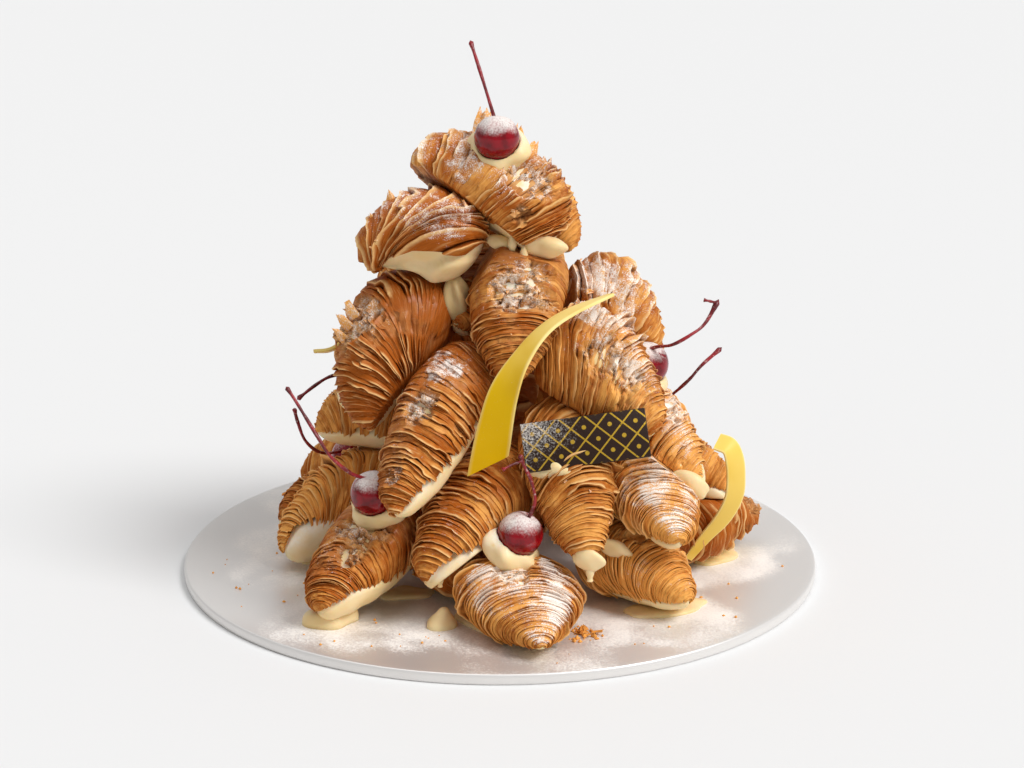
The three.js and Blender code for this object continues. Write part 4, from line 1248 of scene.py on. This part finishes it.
class Paint:
    """A material in the making, with the shader that its nodes feed."""

    def __init__(self, name, **finish):
        self.material = bpy.data.materials.new(name)
        self.material.use_nodes = True
        self.tree = self.material.node_tree
        self.shader = self.tree.nodes["Principled BSDF"]
        self.place = self.node("TexCoord", output="Object")
        for socket, value in finish.items():
            self.shader.inputs[socket.replace("_", " ")].default_value = value

    def node(self, kind, settings=None, inputs=None, output=0):
        """Any node: its settings first, then the values or links of its sockets."""
        node = self.tree.nodes.new("ShaderNode" + kind)
        for name, value in (settings or {}).items():
            setattr(node, name, value)
        for name, value in (inputs or {}).items():
            self.feed(node.inputs[name], value)
        return Value(self, node.outputs[output])

    def feed(self, socket, value):
        if isinstance(value, Value):
            self.tree.links.new(value.socket, socket)
        elif socket.type == "RGBA":
            socket.default_value = (*value, 1)
        else:
            socket.default_value = value

    def read(self, name):
        """The number that each vertex keeps under that name."""
        return self.node("Attribute", {"attribute_name": name}, output="Fac")

    def grain(self, size, detail=2, stretch=None):
        """Noise from 0 to 1, about size metres across."""
        place = self.place
        if stretch:
            place = self.node("Mapping", inputs={"Vector": place, "Scale": stretch})
        inputs = {"Vector": place, "Scale": 1 / size, "Detail": detail}
        return self.node("TexNoise", inputs=inputs)

    def streaks(self, across, along):
        """Noise in lines that run with the leaves' edges, sizes in millimetres."""
        inputs = {"X": self.read("along") * (1 / across), "Y": self.read("round") * (1 / along)}
        place = self.node("CombineXYZ", inputs=inputs)
        return self.node("TexNoise", inputs={"Vector": place, "Scale": 1.0, "Detail": 3})

    def blend(self, factor, first, second, kind="MIX"):
        """One colour over another."""
        settings = {"data_type": "RGBA", "blend_type": kind}
        return self.node("Mix", settings, {0: factor, 6: first, 7: second}, output=2)

    def set(self, socket, value):
        self.feed(self.shader.inputs[socket], value)

    def finish(self, colour, roughness, height, distance, strength):
        """Feeds the colour, the roughness and the relief, and gives the finished material."""
        self.set("Base Color", colour)
        self.set("Roughness", roughness)
        inputs = {"Height": height, "Distance": distance, "Strength": strength}
        self.set("Normal", self.node("Bump", inputs=inputs))
        return self.material


def pastry_paint(colours):
    """Layered dough: streaked with thin layers, painted shade between the leaves, pale edges that are partly
    a painted highlight, dusted.
    """
    paint = Paint("baked_leaves", Specular_IOR_Level=0.1, Coat_Roughness=0.3)
    shade, edge, torn, calm = (paint.read(name) for name in ("shade", "edge", "torn", "calm"))
    patches, fine, specks = paint.grain(0.02, 3), paint.grain(0.003, 3), paint.grain(0.0006, 2)
    thin, sheets = paint.streaks(0.35, 9.0), paint.streaks(1.1, 14.0)
    baked = paint.read("bake") + (patches - 0.5) * 1.8 + (fine - 0.5) * 0.7 + (sheets - 0.5) * 1.2
    colour = paint.blend(baked.between(-0.15, 1.05), colours.crust, colours.crust_deep)
    colour = paint.blend(torn * (fine * 0.7), colour, colours.crust_edge)
    # dark fine lines between the thin layers, as painted shade
    colour = paint.blend(thin.between(0.5, 0.8) * 0.45, colour, colours.crust_shade)
    colour = paint.blend(thin.between(0.5, 0.2) * 0.3, colour, colours.crust_edge)
    # painted shade between the leaves and in the cracks
    painted_gap_shade = (shade.between(0.15, 0.95) * (0.8 + fine * 0.3)).clamped()
    colour = paint.blend(painted_gap_shade, colour, colours.crust_shade)
    # pale leaf edges: partly the dough's own colour, partly a painted highlight
    lit = edge.between(0.35, 0.95) * (0.35 + fine * 0.9)
    colour = paint.blend(lit.clamped() * 0.8, colour, colours.crust_edge)
    grains = paint.read("sugar") * 1.2 + (fine - 0.5) * 0.9 + (specks - 0.5) * 1.4 + (thin - 0.5) * 0.6
    dust = (grains.between(0.38, 1.05) * (0.5 + specks * 0.7) * (1 - shade * 0.6)).clamped()
    colour = paint.blend(dust, colour, colours.sugar)
    paint.set("Coat Weight", (calm * 0.35 - dust).clamped())
    relief = thin * 0.5 + sheets * 0.4 + fine * 0.5 + specks * 0.25
    return paint.finish(colour, (0.5 + fine * 0.2 + dust * 0.3).clamped(), relief, 0.0007, 0.7)


def cream_paint(colours):
    """Thick vanilla custard cream, smooth and a little shiny, with painted shade on cream that lies in the
    shade.
    """
    paint = Paint("vanilla_cream", Specular_IOR_Level=0.3, Subsurface_Weight=0.15, Subsurface_Scale=0.006)
    cloud = paint.grain(0.012, 2)
    fine = paint.grain(0.0015, 2)
    deep = np.multiply(colours.custard, (0.93, 0.86, 0.68))
    colour = paint.blend(cloud.between(0.35, 0.75) * 0.7, colours.custard, deep)
    # painted shade: darkens the cream as far as its deep mark says it lies in the shade
    colour = paint.blend(paint.read("deep"), colour, 0.55 * deep)
    dust = (paint.read("sugar") * (0.3 + fine * 1.2)).clamped()
    colour = paint.blend(dust, colour, colours.sugar)
    return paint.finish(colour, (0.34 + cloud * 0.1 + dust * 0.4).clamped(), fine, 0.0002, 0.35)


def berry_paint(colours):
    """A glossy cocktail cherry with sugar on top."""
    paint = Paint("cherry_skin", Specular_IOR_Level=0.25, Coat_Roughness=0.06)
    fine = paint.grain(0.0008, 3)
    patches = paint.grain(0.004, 2)
    skin = paint.blend(patches.between(0.3, 0.75), colours.berry, np.multiply(colours.berry, 0.45))
    dust = (paint.read("sugar") * (0.35 + fine * 1.3 + patches * 0.3)).between(0.32, 1.3)
    paint.set("Coat Weight", (0.25 - dust).clamped())
    skin = paint.blend(dust * 0.8, skin, colours.sugar)
    return paint.finish(skin, (0.14 + dust * 0.7).clamped(), dust * fine, 0.0004, 0.6)


def stem_paint(colours):
    paint = Paint("cherry_stem", Roughness=0.35)
    fine = paint.grain(0.0012, 3)
    spots = paint.grain(0.008).between(0.35, 0.7)
    colour = paint.blend(spots, colours.stem, np.multiply(colours.stem, 0.3))
    colour = paint.blend(fine.between(0.55, 0.8) * 0.35, colour, colours.sugar)
    return paint.finish(colour, 0.25 + fine * 0.3, fine, 0.0002, 0.4)


def yellow_paint(colours):
    """Coloured white chocolate, paler where it is thin, and paled all over as painted light where a band is
    lit.
    """
    paint = Paint("yellow_chocolate", Specular_IOR_Level=0.1)
    cloud = paint.grain(0.02, 2)
    fine = paint.grain(0.001, 2)
    colour = paint.blend(paint.read("pale"), colours.yellow, colours.pale_yellow)
    shade = np.multiply(colours.yellow, (0.86, 0.8, 0.8))
    colour = paint.blend(cloud.between(0.4, 0.8) * 0.5, colour, shade)
    colour = paint.blend(fine.between(0.66, 0.8) * 0.12, colour, colours.sugar)
    return paint.finish(colour, 0.26 + cloud * 0.16, cloud + fine * 0.15, 0.0006, 0.25)


def dark_paint(colours):
    """Dark chocolate with a gold lattice and dots, and sugar caught along one end."""
    paint = Paint("dark_chocolate", Specular_IOR_Level=0.25)
    fine = paint.grain(0.0007, 3)
    across, up = paint.read("across"), paint.read("up")
    lines = 0.0
    for slope in (1, -1):
        place = (across + up * slope) * LATTICE
        ring = (place - place.math("ROUND")).math("ABSOLUTE")
        lines = (1 - ring.between(0.03, 0.055)) + lines
    one = (across + up) * LATTICE + 0.5
    two = (across - up) * LATTICE + 0.5
    far = ((one - one.math("ROUND")) ** 2.0 + (two - two.math("ROUND")) ** 2.0).math("SQRT")
    dots = 1 - far.between(0.1, 0.14)
    gold = ((lines + dots) * paint.read("face") * fine.between(0.2, 0.45)).clamped()
    colour = paint.blend(fine * 0.35, colours.dark, np.multiply(colours.dark, 2.2))
    colour = paint.blend(gold, colour, colours.gold)
    dust = (paint.read("sugar") * (0.1 + fine * 1.5)).between(0.4, 0.9)
    paint.set("Metallic", gold * 0.5)
    colour = paint.blend(dust * 0.8, colour, colours.sugar)
    return paint.finish(colour, (0.3 + fine * 0.15 + dust * 0.5).clamped(), fine + dust, 0.0003, 0.4)


def foil_paint(colours):
    """Matt silver foil with faint streaks, sugar and crumbs round the heap, and a painted reflection of the
    pastries, warm and darker, over its front.
    """
    paint = Paint("silver_foil", Specular_IOR_Level=0.4)
    fine = paint.grain(0.0009, 3)
    streak = paint.grain(0.02, 3, (1.0, 0.15, 1.0))
    cloud = paint.grain(0.03, 3)
    dust = (paint.read("sugar") * (0.5 + cloud) + (fine - 0.5) * 1.2).between(0.3, 1.3)
    colour = paint.blend(streak * 0.25, colours.foil, np.multiply(colours.foil, 0.8))
    # painted reflection of the pastries, warm and darker, over the foil's front
    painted_reflection = np.multiply(colours.foil, (0.66, 0.57, 0.53))
    colour = paint.blend(paint.read("deep") * 0.75, colour, painted_reflection)
    paint.set("Metallic", (0.45 - dust * 0.6).clamped())
    colour = paint.blend(dust, colour, colours.sugar)
    relief = cloud * 0.7 + fine * 0.1 + dust * 0.3
    return paint.finish(colour, (0.34 + streak * 0.1 + dust * 0.4).clamped(), relief, 0.0008, 0.2)


def floor_paint(colours):
    paint = Paint("pale_ground", Roughness=0.8)
    cloud = paint.grain(0.6, 2)
    paint.set("Base Color", paint.blend(cloud * 0.04, colours.floor, (0.8, 0.8, 0.8)))
    return paint.material


# ---- Operators ----
def chosen(context):
    return context.scene.tower_sizes, context.scene.tower_colours


def heap():
    return [Pastry(row, seed) for seed, row in enumerate(PASTRIES, 1)]


class TOWER_OT_pastries(bpy.types.Operator):
    """Bakes and fills every lobster tail of the heap"""

    bl_idname = "tower.pastries"
    bl_label = "Pastries"

    def execute(self, context):
        sizes, colours = chosen(context)
        leaves, cream = pastry_paint(colours), cream_paint(colours)
        pastries = heap()
        press(pastries)
        sky = solids_above()
        shapes = []
        for pastry in pastries:
            node = "pastry_" + pastry.name
            crust = finish_piece(shell(pastry, sizes, sky), node, leaves)
            finish_piece(filling(pastry, sizes, sky), node, cream)
            shapes += scraps(pastry, crust, sky)
        shapes += [shard(foot, tip) for foot, tip in SHARDS]
        loose = finish_piece(scatter("loose_leaves", shapes), None, leaves)
        # the flakes are paled like the leaves' edges, partly a painted highlight
        mark(loose, "edge", 0.45)
        mark(loose, "sugar", 0.45)
        return {"FINISHED"}


class TOWER_OT_cherries(bpy.types.Operator):
    """Sets the cherries with their stems on piped cream"""

    bl_idname = "tower.cherries"
    bl_label = "Cherries"

    def execute(self, context):
        sizes, colours = chosen(context)
        skin, wood, cream = berry_paint(colours), stem_paint(colours), cream_paint(colours)
        sky = solids_above()
        for seed, name in enumerate(CHERRIES):
            finish_piece(cherry(name, sizes, sky, seed), "cherry_" + name, skin)
            for piece in stems(name, sizes, seed):
                finish_piece(piece, "cherry_" + name, wood)
            finish_piece(rosette(name, sizes, sky, seed), "rosette_" + name, cream)
        return {"FINISHED"}


class TOWER_OT_cream(bpy.types.Operator):
    """Adds the cream that lies between the tails and on the board"""

    bl_idname = "tower.cream"
    bl_label = "Loose cream"

    def execute(self, context):
        cream = cream_paint(chosen(context)[1])
        for seed, name in enumerate(DOLLOPS):
            finish_piece(dollop(name, seed), name, cream)
        for make, rows in ((puddle, PUDDLES), (drip, DRIPS), (spill, SPILLS)):
            for index, row in enumerate(rows):
                finish_piece(make(index, *row), None, cream)
        return {"FINISHED"}


class TOWER_OT_chocolate(bpy.types.Operator):
    """Bends the yellow bands and prints the dark plaque"""

    bl_idname = "tower.chocolate"
    bl_label = "Chocolate"

    def execute(self, context):
        sizes, colours = chosen(context)
        yellow = yellow_paint(colours)
        for name in CURLS:
            finish_piece(curl(name, sizes), name, yellow)
        finish_piece(plaque(sizes), "plaque", dark_paint(colours))
        return {"FINISHED"}


class TOWER_OT_board(bpy.types.Operator):
    """Lays the foil board with its sugar and crumbs"""

    bl_idname = "tower.board"
    bl_label = "Cake board"

    def execute(self, context):
        sizes, colours = chosen(context)
        finish_piece(board(sizes, heap()), "board", foil_paint(colours))
        finish_piece(crumbs(), None, pastry_paint(colours))
        return {"FINISHED"}


class TOWER_OT_stage(bpy.types.Operator):
    """Sets the ground, the soft lights and the camera"""

    bl_idname = "tower.stage"
    bl_label = "Stage"

    def execute(self, context):
        scene = context.scene
        bpy.ops.object.select_all(action="DESELECT")
        bpy.ops.mesh.primitive_plane_add(size=GROUND_WIDE, location=(0, 0, 0))
        ground = named("ground")
        ground.data.materials.append(floor_paint(scene.tower_colours))
        scene.world = bpy.data.worlds.new("soft_sky")
        scene.world.use_nodes = True
        background = scene.world.node_tree.nodes["Background"]
        background.inputs["Color"].default_value = (1, 1, 1, 1)
        background.inputs["Strength"].default_value = SKY_STRENGTH
        scene.view_settings.view_transform = "Standard"
        for name, at, spread, power in LIGHTS:
            bpy.ops.object.light_add(type="SUN", location=at)
            lamp = named(name)
            lamp.data.angle = math.radians(spread)
            lamp.data.energy = power
            lamp.rotation_euler = (-lamp.location).to_track_quat("-Z", "Y").to_euler()
        bpy.ops.object.camera_add(location=[v * MM for v in CAMERA_AT])
        camera = named("camera")
        camera.rotation_euler = (math.radians(90 - CAMERA_DOWN), 0, 0)
        camera.data.sensor_width = SENSOR
        camera.data.lens = SENSOR * FOCAL_PIXELS / WIDE_PIXELS
        camera.data.clip_end = SEEN_TO
        scene.camera = camera
        return {"FINISHED"}


STEPS = [
    TOWER_OT_pastries,
    TOWER_OT_cherries,
    TOWER_OT_cream,
    TOWER_OT_chocolate,
    TOWER_OT_board,
    TOWER_OT_stage,
]


class TOWER_PT_panel(bpy.types.Panel):
    """The steps that build the tower"""

    bl_idname = "TOWER_PT_panel"
    bl_label = "Lobster tail tower"
    bl_space_type = "VIEW_3D"
    bl_region_type = "UI"
    bl_category = "Tower"

    def draw(self, context):
        for step in STEPS:
            self.layout.operator(step.bl_idname)
        for group in chosen(context):
            for name in group.__annotations__:
                self.layout.prop(group, name)


CLASSES = [TowerSizes, TowerColours, *STEPS, TOWER_PT_panel]


def register():
    for item in CLASSES:
        bpy.utils.register_class(item)
    bpy.types.Scene.tower_sizes = PointerProperty(type=TowerSizes)
    bpy.types.Scene.tower_colours = PointerProperty(type=TowerColours)


def unregister():
    del bpy.types.Scene.tower_colours
    del bpy.types.Scene.tower_sizes
    for item in reversed(CLASSES):
        bpy.utils.unregister_class(item)


def main():
    register()
    bpy.ops.tower.pastries()
    bpy.ops.tower.cherries()
    bpy.ops.tower.cream()
    bpy.ops.tower.chocolate()
    bpy.ops.tower.board()
    bpy.ops.tower.stage()


if __name__ == "__main__":
    main()
